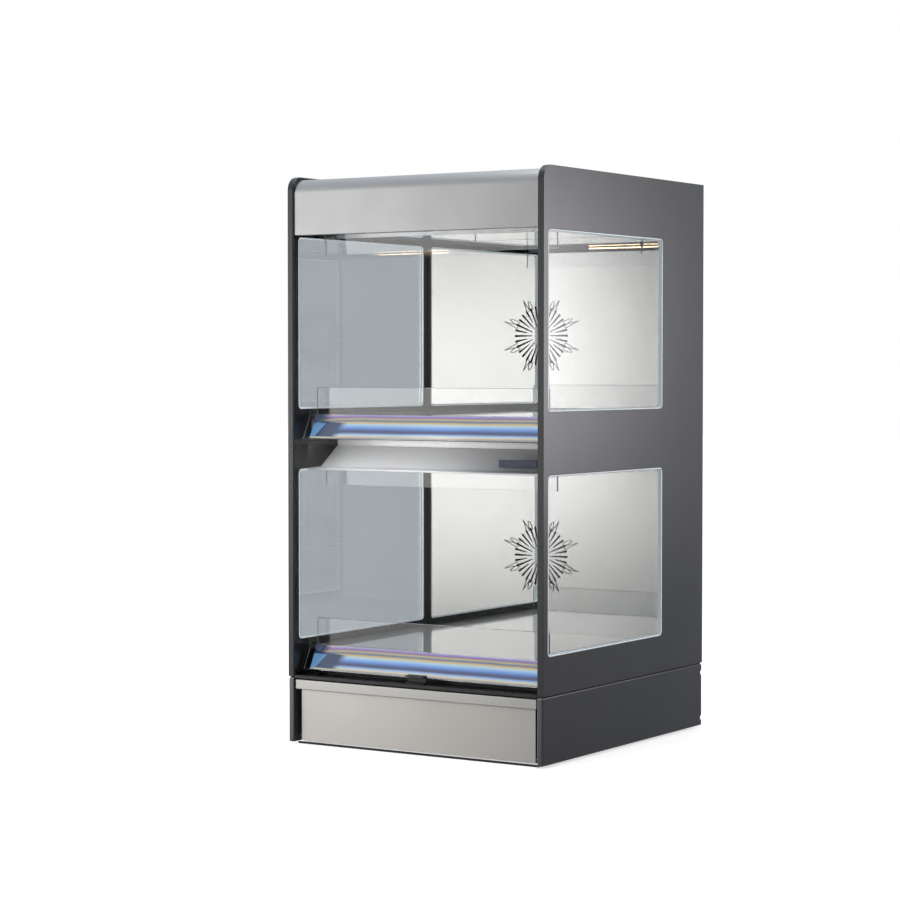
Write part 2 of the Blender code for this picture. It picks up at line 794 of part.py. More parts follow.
def controller_button(tier, role):
    x = CONTROLLER_X[tier] + BUTTON_OFFSETS[role]
    front = controller_front()
    half_x = BUTTON_SIZE[0] / 2
    half_z = BUTTON_SIZE[1] / 2
    outline = rounded_rectangle((-half_x, -half_z), (half_x, half_z), 0.0012, 2)
    item = prism(f"button_{tier}_{role}", outline, -0.0012, 0.0026, "Y", button_plastic())
    item.location = (x, front, CONTROL_Z)
    return item


def switch_body():
    """A snap-in switch housing with a pocket for its rocker."""
    front = controller_front()
    plate = y_at(CONTROL_DEPTH)
    bezel = rounded_rectangle((-0.0135, CONTROL_Z - 0.0180), (0.0135, CONTROL_Z + 0.0180), 0.002, 3)
    item = prism("switch_body", bezel, front, plate - GAP, "Y", dark_plastic())
    low = (-0.0106, plate - 0.0020, CONTROL_Z - 0.0146)
    high = (0.0106, plate + 0.0220, CONTROL_Z + 0.0146)
    join(item, as_cutter(box("switch_core", low, high, None)))
    low = (-0.0082, front - 0.01, CONTROL_Z - 0.0125)
    high = (0.0082, front + 0.0085, CONTROL_Z + 0.0125)
    return cut(item, as_cutter(box("rocker_pocket", low, high, None)))


def switch_rocker():
    """A rocker, tilted to its off side, whose origin is on its axis."""
    half = 0.0108
    outline = [
        (-0.0032, half), (-0.0016, 0.0), (-0.0032, -half), (0.0004, -half),
        (0.0034, -0.0022), (0.0034, 0.0022), (0.0004, half),
    ]
    item = prism("switch_rocker", outline, -0.0078, 0.0078, "X", button_plastic())
    item.location = (0.0, controller_front() + 0.0018, CONTROL_Z)
    item.rotation_euler = (math.radians(-8), 0.0, 0.0)
    return item


def terminal_box():
    low = (-0.070, y_at(0.530))
    high = (0.070, y_at(0.620))
    outline = rounded_rectangle(low, high, 0.006, 3)
    return prism("terminal_box", outline, 0.0120, 0.0700, "Z", dark_plastic())


def cable_gland():
    """A gland with a six-sided nut outside, a lock collar inside and a bore for a lead."""
    start = y_at(BASE_REAR_DEPTH)
    bore = 0.0050
    profile = [
        (bore, -0.010), (0.0078, -0.010), (0.0078, SHEET + GAP), (0.0125, SHEET + GAP), (0.0125, 0.0080),
        (0.0100, 0.0090), (0.0095, 0.0150), (0.0070, 0.0180), (bore, 0.0180),
    ]
    return turned("cable_gland", profile, (0.170, start, 0.060), "Y", dark_plastic(), 24)


# ---------------------------------------------------------------- assembly
def build():
    clear_scene()
    for side, sign in (("left", -1), ("right", 1)):
        side_panel(side, sign)
        glazing(side, sign)
        base_side(side, sign)
    top_cap()
    ceiling_panel()
    mid_housing()
    lower_floor_box()
    mid_visor()
    badge_plate()
    duct_divider()
    probe("upper", 0.054, 0.150, 0.0190)
    for tier in TIERS:
        deck(tier)
        guard(tier)
        ticket_strip(tier)
        deflector(tier)
        led_strip(tier)
        back_wall(tier)
        duct_plate(tier)
        heater(tier)
        fan(tier)
        fan_motor(tier)
        rear_cover(tier)
        controller(tier)
        for role in BUTTON_OFFSETS:
            controller_button(tier, role)
    base_tray()
    base_rear_panel()
    front_sill()
    latch()
    flap_panel()
    flap_lip()
    hinge_rod()
    control_panel()
    switch_body()
    switch_rocker()
    terminal_box()
    cable_gland()
    for place, (x, depth) in FEET.items():
        levelling_foot(place, x, depth)


build()
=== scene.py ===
"""The looks of a two-tier hot food display case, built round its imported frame.

Every place comes from the frame's own boxes. The front faces -Y and +X is the right-hand side from the front.
"""
import math

import bmesh
import bpy
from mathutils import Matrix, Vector


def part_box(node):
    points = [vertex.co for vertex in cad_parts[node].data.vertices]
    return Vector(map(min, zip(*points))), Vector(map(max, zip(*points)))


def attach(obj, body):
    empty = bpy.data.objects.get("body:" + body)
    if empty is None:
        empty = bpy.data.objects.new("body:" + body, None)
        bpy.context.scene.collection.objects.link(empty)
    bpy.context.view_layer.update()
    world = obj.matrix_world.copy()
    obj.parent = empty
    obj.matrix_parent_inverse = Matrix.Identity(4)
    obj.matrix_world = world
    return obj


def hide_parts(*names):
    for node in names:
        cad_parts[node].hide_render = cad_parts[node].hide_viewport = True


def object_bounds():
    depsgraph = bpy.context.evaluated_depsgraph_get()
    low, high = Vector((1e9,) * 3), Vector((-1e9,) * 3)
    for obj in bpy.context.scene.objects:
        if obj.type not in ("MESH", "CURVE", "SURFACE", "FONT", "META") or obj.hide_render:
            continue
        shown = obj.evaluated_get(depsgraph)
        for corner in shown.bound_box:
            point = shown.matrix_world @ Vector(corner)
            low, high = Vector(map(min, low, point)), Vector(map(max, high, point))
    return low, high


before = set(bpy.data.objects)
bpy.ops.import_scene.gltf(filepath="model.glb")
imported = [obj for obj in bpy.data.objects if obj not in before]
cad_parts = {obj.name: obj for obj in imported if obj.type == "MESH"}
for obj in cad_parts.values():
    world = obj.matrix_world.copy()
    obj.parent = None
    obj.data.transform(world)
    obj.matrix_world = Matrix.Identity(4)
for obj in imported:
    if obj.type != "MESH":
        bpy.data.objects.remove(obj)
cad_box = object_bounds()

TIERS = ("lower", "upper")
SIDES = {"left": -1, "right": 1}
FRONT = cad_box[0][1]

FINE = 0.0003           # the usual bevel of a sheet's edges
GAP = 0.0001            # what keeps two faces from lying in one plane
SHEET = 0.0015          # folded steel sheet
CORNER = 0.028          # the side panels' front top corner, and the top cap's rolled edge
PANE = 0.0036           # each pane of a window
BEAD = {"inner": 0.0032, "outer": 0.0015}
LINER = 0.0010
WINDOW_CORNER = 0.009
LOUVRE_PITCH = 0.014


def low(node):
    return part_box(node)[0]


def high(node):
    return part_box(node)[1]


def middle(node):
    first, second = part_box(node)
    return (first + second) / 2


def faces_of(node):
    """How far a side piece's inner and outer faces stand from the case's middle."""
    return sorted((abs(low(node).x), abs(high(node).x)))


def from_front(*points):
    """Points (back from the front, up), as (y, z)."""
    return [(FRONT + back, z) for back, z in points]


# ---- outlines
def arc(centre, radius, start, end, steps):
    """Points on an arc, with its angles in degrees."""
    points = []
    for step in range(steps + 1):
        angle = math.radians(start + (end - start) * step / steps)
        points.append((centre[0] + radius * math.cos(angle), centre[1] + radius * math.sin(angle)))
    return points


def circle(centre, radius, steps):
    return arc(centre, radius, 0, 360, steps)[:-1]


def rounded_rectangle(first, second, radius, steps=8):
    """A rectangle with round corners between its lowest and highest corner."""
    left, bottom = first[0] + radius, first[1] + radius
    right, top = second[0] - radius, second[1] - radius
    points = []
    for turn, corner in enumerate(((right, top), (left, top), (left, bottom), (right, bottom))):
        points += arc(corner, radius, 90 * turn, 90 * turn + 90, steps)
    return points


def rectangle(first, second):
    return [first, (second[0], first[1]), second, (first[0], second[1])]


def softened(path, radius, steps=6):
    """An open path with each inner corner rounded to the radius."""
    points = [Vector(point) for point in path]
    result = [points[0]]
    for before, corner, after in zip(points, points[1:], points[2:]):
        inward = (before - corner).normalized()
        outward = (after - corner).normalized()
        half = inward.angle(outward) / 2
        reach = min(radius / math.tan(half), (before - corner).length / 2.05, (after - corner).length / 2.05)
        start = corner + inward * reach
        end = corner + outward * reach
        for step in range(steps + 1):
            t = step / steps
            result.append(start * (1 - t) ** 2 + corner * (2 * t * (1 - t)) + end * t ** 2)
    result.append(points[-1])
    return [tuple(point) for point in result]


def thickened(path, thickness):
    """A closed outline: an open path and its copy offset to the path's left by the thickness."""
    points = [Vector(point) for point in path]
    sides = []
    for first, second in zip(points, points[1:]):
        run = (second - first).normalized()
        sides.append(Vector((-run.y, run.x)))
    offset = []
    for index, point in enumerate(points):
        before = sides[max(index - 1, 0)]
        after = sides[min(index, len(sides) - 1)]
        mitre = (before + after) / (1 + before.dot(after))
        offset.append(point + mitre * thickness)
    return [tuple(point) for point in points] + [tuple(point) for point in reversed(offset)]


# ---- solids
SAME_POINT = 0.000004
PLACES = {
    "X": lambda a, b, t: Vector((t, a, b)),
    "Y": lambda a, b, t: Vector((a, t, b)),
    "Z": lambda a, b, t: Vector((a, b, t)),
}


def object_from_bmesh(name, work, sharp=40):
    bmesh.ops.recalc_face_normals(work, faces=work.faces)
    mesh = bpy.data.meshes.new(name)
    work.to_mesh(mesh)
    work.free()
    item = bpy.data.objects.new(name, mesh)
    bpy.context.scene.collection.objects.link(item)
    mesh.shade_smooth()
    mesh.set_sharp_from_angle(angle=math.radians(sharp))
    flat = item.modifiers.new("flat_faces", "WEIGHTED_NORMAL")
    flat.keep_sharp = True
    flat.weight = 100
    return item


def add_plate(work, outlines, start, end, axis, bevel=0.0, segments=2):
    """Add a flat plate to a mesh: its first outline is the edge and the others are its holes."""
    place = PLACES[axis]
    part = bmesh.new()
    for outline in outlines:
        corners = [part.verts.new(place(a, b, start)) for a, b in outline]
        for first, second in zip(corners, corners[1:] + corners[:1]):
            part.edges.new((first, second))
    bmesh.ops.triangle_fill(part, use_beauty=True, use_dissolve=True, edges=part.edges[:])
    swept = bmesh.ops.extrude_face_region(part, geom=part.faces[:])
    moved = [element for element in swept["geom"] if isinstance(element, bmesh.types.BMVert)]
    bmesh.ops.translate(part, vec=place(0, 0, end) - place(0, 0, start), verts=moved)
    bmesh.ops.recalc_face_normals(part, faces=part.faces)
    if bevel:
        corner = math.radians(32)
        edges = [edge for edge in part.edges if edge.is_manifold and edge.calc_face_angle() > corner]
        bmesh.ops.bevel(part, geom=edges, offset=bevel, segments=segments, profile=0.5, affect="EDGES")
    mesh = bpy.data.meshes.new("part")
    part.to_mesh(mesh)
    part.free()
    work.from_mesh(mesh)
    bpy.data.meshes.remove(mesh)


def plate(name, outlines, start, end, axis, bevel=0.0, segments=2):
    work = bmesh.new()
    add_plate(work, outlines, start, end, axis, bevel, segments)
    return object_from_bmesh(name, work)


def add_turned(work, profile, centre, axis, steps=32):
    """Turn (radius, along) points about a line along X, Y or Z through the centre, and close both ends."""
    place = PLACES[axis]
    side = place(1, 0, 0)
    along = place(0, 0, 1)
    across = along.cross(side)
    rings = []
    for step in range(steps):
        angle = 2 * math.pi * step / steps
        outward = side * math.cos(angle) + across * math.sin(angle)
        ring = [Vector(centre) + outward * r + along * t for r, t in profile]
        rings.append([work.verts.new(point) for point in ring])
    for index, ring in enumerate(rings):
        following = rings[(index + 1) % steps]
        for first in range(len(profile) - 1):
            work.faces.new((ring[first], following[first], following[first + 1], ring[first + 1]))
    bmesh.ops.remove_doubles(work, verts=work.verts[:], dist=SAME_POINT)
    boundary = [edge for edge in work.edges if edge.is_boundary]
    if boundary:
        bmesh.ops.holes_fill(work, edges=boundary)


def turned(name, profile, centre, axis, steps=32):
    work = bmesh.new()
    add_turned(work, profile, centre, axis, steps)
    return object_from_bmesh(name, work)


def wires(name, loops, radius):
    """Thin round wires along closed loops of points, as one curve."""
    curve = bpy.data.curves.new(name, "CURVE")
    curve.dimensions = "3D"
    curve.bevel_depth = radius
    curve.bevel_resolution = 1
    curve.use_fill_caps = True
    for loop in loops:
        spline = curve.splines.new("POLY")
        spline.points.add(len(loop) - 1)
        spline.use_cyclic_u = True
        for point, place in zip(spline.points, loop):
            point.co = (*place, 1.0)
    item = bpy.data.objects.new(name, curve)
    bpy.context.scene.collection.objects.link(item)
    return item


# ---- finishes
def add_node(tree, kind, inputs=(), **settings):
    """Add a shader node, with a value or a link for each input that is given."""
    node = tree.nodes.new("ShaderNode" + kind)
    for name, setting in settings.items():
        setattr(node, name, setting)
    for name, value in dict(inputs).items():
        if isinstance(value, bpy.types.NodeSocket):
            tree.links.new(value, node.inputs[name])
        else:
            node.inputs[name].default_value = value
    return node


class Finish:
    """A Principled material, with its textures in the case's own coordinates.

    The colour or the roughness is left out where a texture gives it.
    """

    def __init__(self, name, color=None, roughness=None, metallic=0.0):
        self.material = bpy.data.materials.new(name)
        self.material.use_nodes = True
        self.tree = self.material.node_tree
        self.shader = self.tree.nodes["Principled BSDF"]
        self.place = add_node(self.tree, "TexCoord").outputs["Object"]
        if color is not None:
            self.set("Base Color", (*color, 1.0))
        if roughness is not None:
            self.set("Roughness", roughness)
        self.set("Metallic", metallic)

    def set(self, socket, value):
        self.shader.inputs[socket].default_value = value
        return self

    def link(self, source, socket):
        self.tree.links.new(source, self.shader.inputs[socket])
        return self

    def noise(self, scale, stretch=(1, 1, 1), detail=3.0, roughness=0.55):
        place = add_node(self.tree, "Mapping", {"Vector": self.place, "Scale": stretch}).outputs["Vector"]
        inputs = {"Vector": place, "Scale": scale, "Detail": detail, "Roughness": roughness}
        return add_node(self.tree, "TexNoise", inputs).outputs["Fac"]

    def spread(self, source, bottom, top, source_low=0.3, source_high=0.7):
        inputs = {
            "Value": source, "From Min": source_low, "From Max": source_high, "To Min": bottom, "To Max": top,
        }
        return add_node(self.tree, "MapRange", inputs).outputs["Result"]

    def math(self, operation, first, second):
        return add_node(self.tree, "Math", {0: first, 1: second}, operation=operation).outputs[0]

    def mix(self, factor, first, second):
        """Two colours mixed by a factor: each is a tuple or an output."""
        colors = [(*color, 1.0) if isinstance(color, tuple) else color for color in (first, second)]
        inputs = {"Factor": factor, 6: colors[0], 7: colors[1]}
        return add_node(self.tree, "Mix", inputs, data_type="RGBA").outputs[2]

    def axis(self, name):
        return add_node(self.tree, "SeparateXYZ", {0: self.place}).outputs[name]

    def ramp(self, source, stops):
        node = add_node(self.tree, "ValToRGB", {"Fac": source})
        elements = node.color_ramp.elements
        while len(elements) < len(stops):
            elements.new(0.5)
        for element, (position, color) in zip(elements, stops):
            element.position = position
            element.color = (*color, 1.0)
        return node.outputs["Color"]

    def tone(self, source, dark, light):
        return self.link(self.mix(self.spread(source, 0, 1), dark, light), "Base Color")

    def wear(self, source, smooth, rough):
        return self.link(self.spread(source, smooth, rough), "Roughness")

    def coat(self, weight, roughness, ior=1.5):
        return self.set("Coat Weight", weight).set("Coat Roughness", roughness).set("Coat IOR", ior)

    def glow(self, source, strength):
        """Let the surface shine in the colour of an output."""
        return self.link(source, "Emission Color").set("Emission Strength", strength)

    def bump(self, height, distance, strength):
        inputs = {"Height": height, "Distance": distance, "Strength": strength}
        return self.link(add_node(self.tree, "Bump", inputs).outputs["Normal"], "Normal")

    def clear_shadows(self, tint):
        """Let lamps reach what stands behind this glass."""
        shadow = add_node(self.tree, "LightPath").outputs["Is Shadow Ray"]
        passing = add_node(self.tree, "BsdfTransparent", {"Color": (*tint, 1.0)})
        inputs = {0: shadow, 1: self.shader.outputs[0], 2: passing.outputs[0]}
        mixer = add_node(self.tree, "MixShader", inputs)
        self.tree.links.new(mixer.outputs[0], self.tree.nodes["Material Output"].inputs["Surface"])
        return self


def srgb(red, green, blue):
    """A colour given as 0 to 255 screen values."""
    def linear(value):
        share = value / 255
        return share / 12.92 if share <= 0.04045 else ((share + 0.055) / 1.055) ** 2.4
    return (linear(red), linear(green), linear(blue))


def worn_finish(name, color, patches, rough, grain, detail=3.0, depth=0.00002, strength=0.4):
    """One colour under patches of wear and a fine grain. The patches and the grain are noise scales."""
    finish = Finish(name, color)
    finish.wear(finish.noise(patches, detail=detail), *rough)
    return finish.bump(finish.noise(grain), depth, strength)


def coated_finish():
    """Satin anthracite powder coat: a fine orange peel, faint cloudiness and worn patches in its roughness.
    """
    finish = Finish("coated_panel")
    finish.tone(finish.noise(3.5, detail=4.0), (0.030, 0.028, 0.031), (0.039, 0.036, 0.040))
    finish.wear(finish.noise(14, detail=6.0), 0.35, 0.43)
    finish.coat(1.0, 0.21, 1.8)
    return finish.bump(finish.noise(1600, detail=2.0), 0.00002, 0.5)


def print_finish():
    """Black ceramic print under glass: near black, glossy, with a faint wipe pattern."""
    finish = Finish("black_print")
    wiped = finish.noise(5, (1, 1, 6), detail=5.0)
    finish.tone(wiped, (0.011, 0.011, 0.012), (0.018, 0.018, 0.019))
    finish.wear(wiped, 0.05, 0.14)
    return finish.bump(finish.noise(4, detail=1.0), 0.0001, 0.05)


def brushed_finish(name, color, rough, spread=0.8):
    """Brushed stainless steel with its grain along X, and faint finger marks."""
    finish = Finish(name, metallic=1.0)
    lines = finish.noise(1.0, (12, 1500, 1500), roughness=0.7)
    marks = finish.noise(9, detail=5.0)
    finish.tone(lines, tuple(channel * 0.96 for channel in color), color)
    level = finish.spread(marks, rough - 0.03, rough + 0.03)
    finish.link(finish.math("ADD", finish.spread(lines, -0.035, 0.035), level), "Roughness")
    tangent = add_node(finish.tree, "Tangent", direction_type="RADIAL", axis="X")
    finish.link(tangent.outputs[0], "Tangent")
    finish.set("Anisotropic", spread)
    return finish.bump(lines, 0.000008, 0.5)


def polished_finish():
    """Bright-rolled steel sheet: a sharp reflection at low angles over a soft haze."""
    finish = Finish("polished_sheet", metallic=1.0)
    haze = finish.noise(5, detail=5.0)
    finish.tone(haze, (0.47, 0.475, 0.48), (0.52, 0.52, 0.52))
    return finish.wear(haze, 0.38, 0.46).coat(1.0, 0.012, 1.6)


def satin_finish():
    """Satin sheet with a fine speckle."""
    finish = Finish("satin_sheet", metallic=0.5)
    speckle = finish.noise(900, detail=2.0)
    finish.tone(speckle, (0.64, 0.64, 0.645), (0.74, 0.74, 0.74))
    finish.wear(finish.noise(8, detail=4.0), 0.46, 0.56).coat(0.35, 0.06)
    return finish.bump(speckle, 0.00002, 0.35)


def mirror_finish():
    """Mirror-polished stainless steel with hairline wipe marks."""
    finish = Finish("mirror_steel", metallic=1.0)
    hairs = finish.noise(1.0, (40, 40, 700))
    haze = finish.noise(4, detail=5.0)
    finish.tone(haze, (0.83, 0.83, 0.82), (0.89, 0.89, 0.88))
    level = finish.math("ADD", finish.spread(hairs, 0.0, 0.008), finish.spread(haze, 0.008, 0.020))
    return finish.link(level, "Roughness")


def galvanised_finish():
    """Galvanised sheet with its spangle."""
    finish = Finish("galvanised", metallic=1.0)
    spangle = add_node(finish.tree, "TexVoronoi", {"Vector": finish.place, "Scale": 110})
    tone = finish.spread(spangle.outputs["Color"], 0.0, 1.0, 0.1, 0.9)
    finish.link(finish.mix(tone, (0.42, 0.44, 0.46), (0.56, 0.58, 0.60)), "Base Color")
    finish.link(finish.spread(tone, 0.34, 0.52, 0.0, 1.0), "Roughness")
    return finish.bump(finish.noise(500), 0.00003, 0.3)


def duct_painted_shade_finish():
    """Steel inside the air duct, darkened with warm brown patches: painted shade for the shaded space seen
    through the slots.
    """
    finish = Finish("duct_painted_shade", metallic=1.0)
    tint = finish.noise(14, detail=5.0)
    finish.tone(tint, (0.05, 0.045, 0.045), (0.20, 0.12, 0.08)).wear(tint, 0.42, 0.60)
    return finish.bump(finish.noise(600), 0.00003, 0.4)


def glass_finish(name, tint):
    """Clear glass with faint smears."""
    finish = Finish(name, roughness=0.0)
    finish.tone(finish.noise(5, (1, 1, 2), detail=4.0), tuple(channel * 0.985 for channel in tint), tint)
    finish.set("Transmission Weight", 1.0)
    finish.set("IOR", 1.45)
    return finish.clear_shadows(tuple(channel ** 0.5 for channel in tint))


def bead_painted_glow_finish():
    """The pale ground edge and bead round each window, with a faint bluish glow: painted light, as the bead
    is no lamp.
    """
    finish = worn_finish("window_bead_painted_glow", srgb(236, 240, 243), 60, (0.28, 0.45), 900)
    # The faint bluish emission is a painted glow.
    return finish.set("Emission Color", (0.82, 0.93, 1.0, 1.0)).set("Emission Strength", 0.34)


def ground_finish():
    """The pale ground edge of a clear sheet."""
    finish = worn_finish("ground_edge", srgb(196, 199, 204), 120, (0.32, 0.5), 1100)
    return finish.set("Transmission Weight", 0.35)


def black_finish(name, shade, rough):
    """Black moulded or painted trim, or a grey moulding."""
    finish = Finish(name)
    cloud = finish.noise(22, detail=5.0)
    finish.tone(cloud, (shade * 0.85, shade * 0.85, shade * 0.9), (shade * 1.2, shade * 1.2, shade * 1.28))
    finish.wear(cloud, rough - 0.05, rough + 0.07)
    return finish.bump(finish.noise(1300, detail=2.0), 0.00003, 0.45)


def lamp_finish():
    """A warm lit diffuser, brighter over each lamp chip."""
    half_pitch = 0.008
    finish = Finish("lamp_cover", (0.95, 0.90, 0.82), 0.4)
    chips = finish.math("PINGPONG", finish.axis("X"), half_pitch)
    near_chip = finish.spread(chips, 1, 0, 0, half_pitch)
    return finish.glow(finish.mix(near_chip, (1.0, 0.60, 0.34), (1.0, 0.76, 0.54)), 9.0)


def numerals_finish():
    """Small lit numerals."""
    finish = Finish("red_numerals", (1.0, 0.12, 0.06), 0.4)
    cloud = finish.spread(finish.noise(300), 0, 1)
    return finish.glow(finish.mix(cloud, (0.8, 0.096, 0.048), (1.0, 0.12, 0.06)), 2.5)


def painted_reflection_finish(tier):
    """Painted reflection in the clear ticket strip: iridescent bands that run along the strip and bend at its
    left end, painted on a sheet behind the strip's slope, which also glows faintly as painted light.

    The drop goes from 0 at the strip's top edge to 1 at the sheet's foot. Left of a slanted edge the sheet is
    dark, apart from its foot and a light blue corner.
    """
    finish = Finish(f"ticket_painted_reflection_{tier}", roughness=0.22)
    top = high(f"ticket_strip_{tier}").z
    left = low(f"ticket_strip_{tier}").x
    drop = finish.spread(finish.axis("Z"), 1.0, 0.0, top - 0.0490, top)
    near_end = finish.spread(finish.axis("X"), 1.0, 0.0, left, left + 0.16)
    bend = finish.math("MULTIPLY", finish.math("POWER", near_end, 3.0), 0.14)
    wave = finish.spread(finish.noise(1.0, (9, 1, 30), detail=2.0), -0.012, 0.012)
    level = finish.math("ADD", finish.math("SUBTRACT", drop, bend), wave)
    # The rainbow bands are painted reflection: the clear strip's reflected colours painted on the sheet.
    color = finish.ramp(level, [
        (0.00, srgb(216, 190, 180)), (0.05, srgb(150, 150, 208)), (0.12, srgb(140, 104, 150)),
        (0.19, srgb(188, 176, 128)), (0.26, srgb(78, 108, 150)), (0.33, srgb(206, 176, 106)),
        (0.41, srgb(182, 207, 218)), (0.51, srgb(130, 170, 222)), (0.60, srgb(86, 122, 188)),
        (0.68, srgb(74, 74, 106)), (0.74, srgb(80, 86, 122)), (0.81, srgb(152, 187, 232)),
        (0.88, srgb(217, 206, 170)), (0.94, srgb(164, 160, 160)), (1.00, srgb(126, 122, 124)),
    ])
    from_end = finish.math("SUBTRACT", finish.axis("X"), left)
    slanted = finish.math("ADD", from_end, finish.math("MULTIPLY", drop, 0.03))
    slanted = finish.math("ADD", slanted, finish.spread(drop, 0.055, 0.0, 0.30, 0.36))
    foot = finish.spread(drop, 0.0, 1.0, 0.90, 0.94)
    lit = finish.math("MAXIMUM", finish.spread(slanted, 0.0, 1.0, 0.092, 0.110), foot)
    corner_edge = finish.math("ADD", from_end, finish.math("MULTIPLY", drop, 0.036))
    corner = finish.spread(corner_edge, 1.0, 0.0, 0.056, 0.061)
    corner = finish.math("MULTIPLY", corner, finish.spread(drop, 0.0, 1.0, 0.34, 0.39))
    shown = finish.mix(lit, finish.mix(corner, srgb(50, 62, 94), srgb(112, 160, 204)), color)
    finish.link(shown, "Base Color")
    # The sheet's faint emission is painted light, as it is no lamp.
    return finish.glow(shown, 0.40 if tier == "upper" else 0.34).coat(0.5, 0.06)


FINISHES = {
    "coated": coated_finish(),
    "edge": worn_finish("panel_edge", srgb(42, 42, 44), 30, (0.26, 0.36), 1200),
    # Light grey for the base skirts' upward chamfer: a painted highlight along the lit top edge.
    "chamfer_highlight": worn_finish("base_chamfer_painted_highlight", srgb(140, 140, 143), 25, (0.30, 0.42), 1200, 5.0),
    "print": print_finish(),
    "fascia": brushed_finish("brushed_fascia", (0.49, 0.482, 0.485), 0.40),
    "lip": brushed_finish("brushed_lip", (0.57, 0.555, 0.53), 0.42, 0.5),
    "flap": brushed_finish("brushed_flap", (0.61, 0.578, 0.547), 0.42, 0.6),
    "visor": satin_finish(),
    "polished": polished_finish(),
    "mirror": mirror_finish(),
    "galvanised": galvanised_finish(),
    "duct_painted_shade": duct_painted_shade_finish(),
    "window": glass_finish("window_glass", (0.672, 0.678, 0.676)),
    "clear": glass_finish("clear_acrylic", (0.97, 0.975, 0.98)),
    "bead": bead_painted_glow_finish(),
    "ground": ground_finish(),
    "rubber": worn_finish("black_rubber", (0.014, 0.014, 0.015), 90, (0.55, 0.78), 1500, 5.0, 0.00004, 0.5),
    "trim": black_finish("black_trim", 0.016, 0.3),
    "plastic": black_finish("dark_plastic", 0.022, 0.42),
    "button": black_finish("button_plastic", 0.20, 0.5),
    "display": black_finish("display_lens", 0.008, 0.12),
    "lamp": lamp_finish(),
    "numerals": numerals_finish(),
    "badge": worn_finish("blank_plate", srgb(48, 56, 88), 40, (0.26, 0.38), 900, 4.0),
    "film_lower": painted_reflection_finish("lower"),
    "film_upper": painted_reflection_finish("upper"),
}


def dress(item, finish, slot, *nodes, body="case"):
    """Give a piece its finish and its place in the frame."""
    item.data.materials.clear()
    item.data.materials.append(FINISHES[finish].material)
    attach(item, body)
    if nodes:
        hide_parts(*nodes)


def edge_faces(item, finish, chosen):
    """Give another finish to the faces whose normal is chosen."""
    item.data.materials.append(FINISHES[finish].material)
    for face in item.data.polygons:
        if chosen(face.normal):
            face.material_index = 1


def finish_work(name, work, finish, slot, *nodes, body="case", sharp=40):
    dress(object_from_bmesh(name, work, sharp), finish, slot, *nodes, body=body)


# ---- side panels and windows
def window_edge(side, tier, inset):
    """A window's outline in its panel: the inset is taken off all round, and may be negative."""
    first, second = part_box(f"glazing_{side}_{tier}")
    corners = (first.y + inset, first.z + inset), (second.y - inset, second.z - inset)
    return rounded_rectangle(*corners, WINDOW_CORNER - inset)


def panel_outline(side, drop=0.0):
    """A side panel's outline. The drop brings its top and front edges in."""
    first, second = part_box(f"side_panel_{side}")
    outline = [(second.y, first.z), (second.y, second.z - drop)]
    outline += arc((first.y + CORNER, second.z - CORNER), CORNER - drop, 90, 180, 14)
    return outline + [(first.y + drop, first.z)]


def side_panel(side, sign):
    """The coated shell, the glossy print inside it, and each window's panes, bead and spacer."""
    inner, outer = faces_of(f"side_panel_{side}")
    holes = [window_edge(side, tier, -0.0003) for tier in TIERS]
    shell = plate(
        f"panel_shell_{side}", [panel_outline(side)] + holes,
        sign * (inner + LINER + 0.0004), sign * outer, "X", 0.0009, 3,
    )
    dress(shell, "coated", "coated_panel", f"side_panel_{side}")
    edge_faces(shell, "edge", lambda normal: abs(normal.x) < 0.35)
    liner = plate(
        f"panel_liner_{side}", [panel_outline(side, 0.0015)] + holes,
        sign * inner, sign * (inner + LINER), "X", 0.0002, 1,
    )
    dress(liner, "print", "coated_panel")
    for tier in TIERS:
        window(side, sign, tier, inner, outer)


def window(side, sign, tier, inner, outer):
    """A double-glazed unit: a pane and a bead at each face of the panel, and a spacer between them."""
    setback = 0.0004
    inner += setback
    outer -= setback
    faces = {"outer": (outer - PANE, outer), "inner": (inner, inner + PANE)}
    for face, (near, far) in faces.items():
        name = f"{face}_{side}_{tier}"
        outline = window_edge(side, tier, BEAD[face] + GAP)
        pane = plate(f"window_{name}", [outline], sign * near, sign * far, "X", FINE, 1)
        dress(pane, "window", "window_glass", f"glazing_{side}_{tier}")
        ring = [window_edge(side, tier, GAP), window_edge(side, tier, BEAD[face])]
        bead = plate(f"window_bead_painted_glow_{name}", ring, sign * near, sign * (far + GAP), "X", FINE, 1)
        dress(bead, "bead", "window_glass")
    ring = [window_edge(side, tier, GAP), window_edge(side, tier, 0.0009)]
    near = inner + PANE + setback
    far = outer - PANE - setback
    spacer = plate(f"window_spacer_{side}_{tier}", ring, sign * near, sign * far, "X", FINE, 1)
    # The spacer takes the bead's finish, so it shows the same painted glow.
    dress(spacer, "bead", "black_trim")


# ---- top and middle steelwork
def top_cap():
    first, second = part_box("top_cap")
    hem = 0.018
    path = [(second.y, second.z - hem), (second.y, second.z)]
    path += arc((first.y + CORNER, second.z - CORNER), CORNER, 90, 180, 18)
    path += [(first.y, first.z), (first.y + hem, first.z)]
    item = plate("top_cap_sheet", [thickened(path, SHEET)], first.x, second.x, "X", FINE, 1)
    dress(item, "fascia", "brushed_steel", "top_cap")


def mid_housing():
    first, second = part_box("mid_housing")
    knee = FRONT + 0.153
    path = [
        (second.y, second.z), (first.y, second.z), (first.y, 0.6190), (knee, 0.6118), (knee, first.z),
        (second.y, first.z),
    ]
    item = plate("mid_housing_sheet", [thickened(softened(path, 0.0012, 4), SHEET)], first.x, second.x, "X")
    dress(item, "visor", "brushed_steel", "mid_housing")


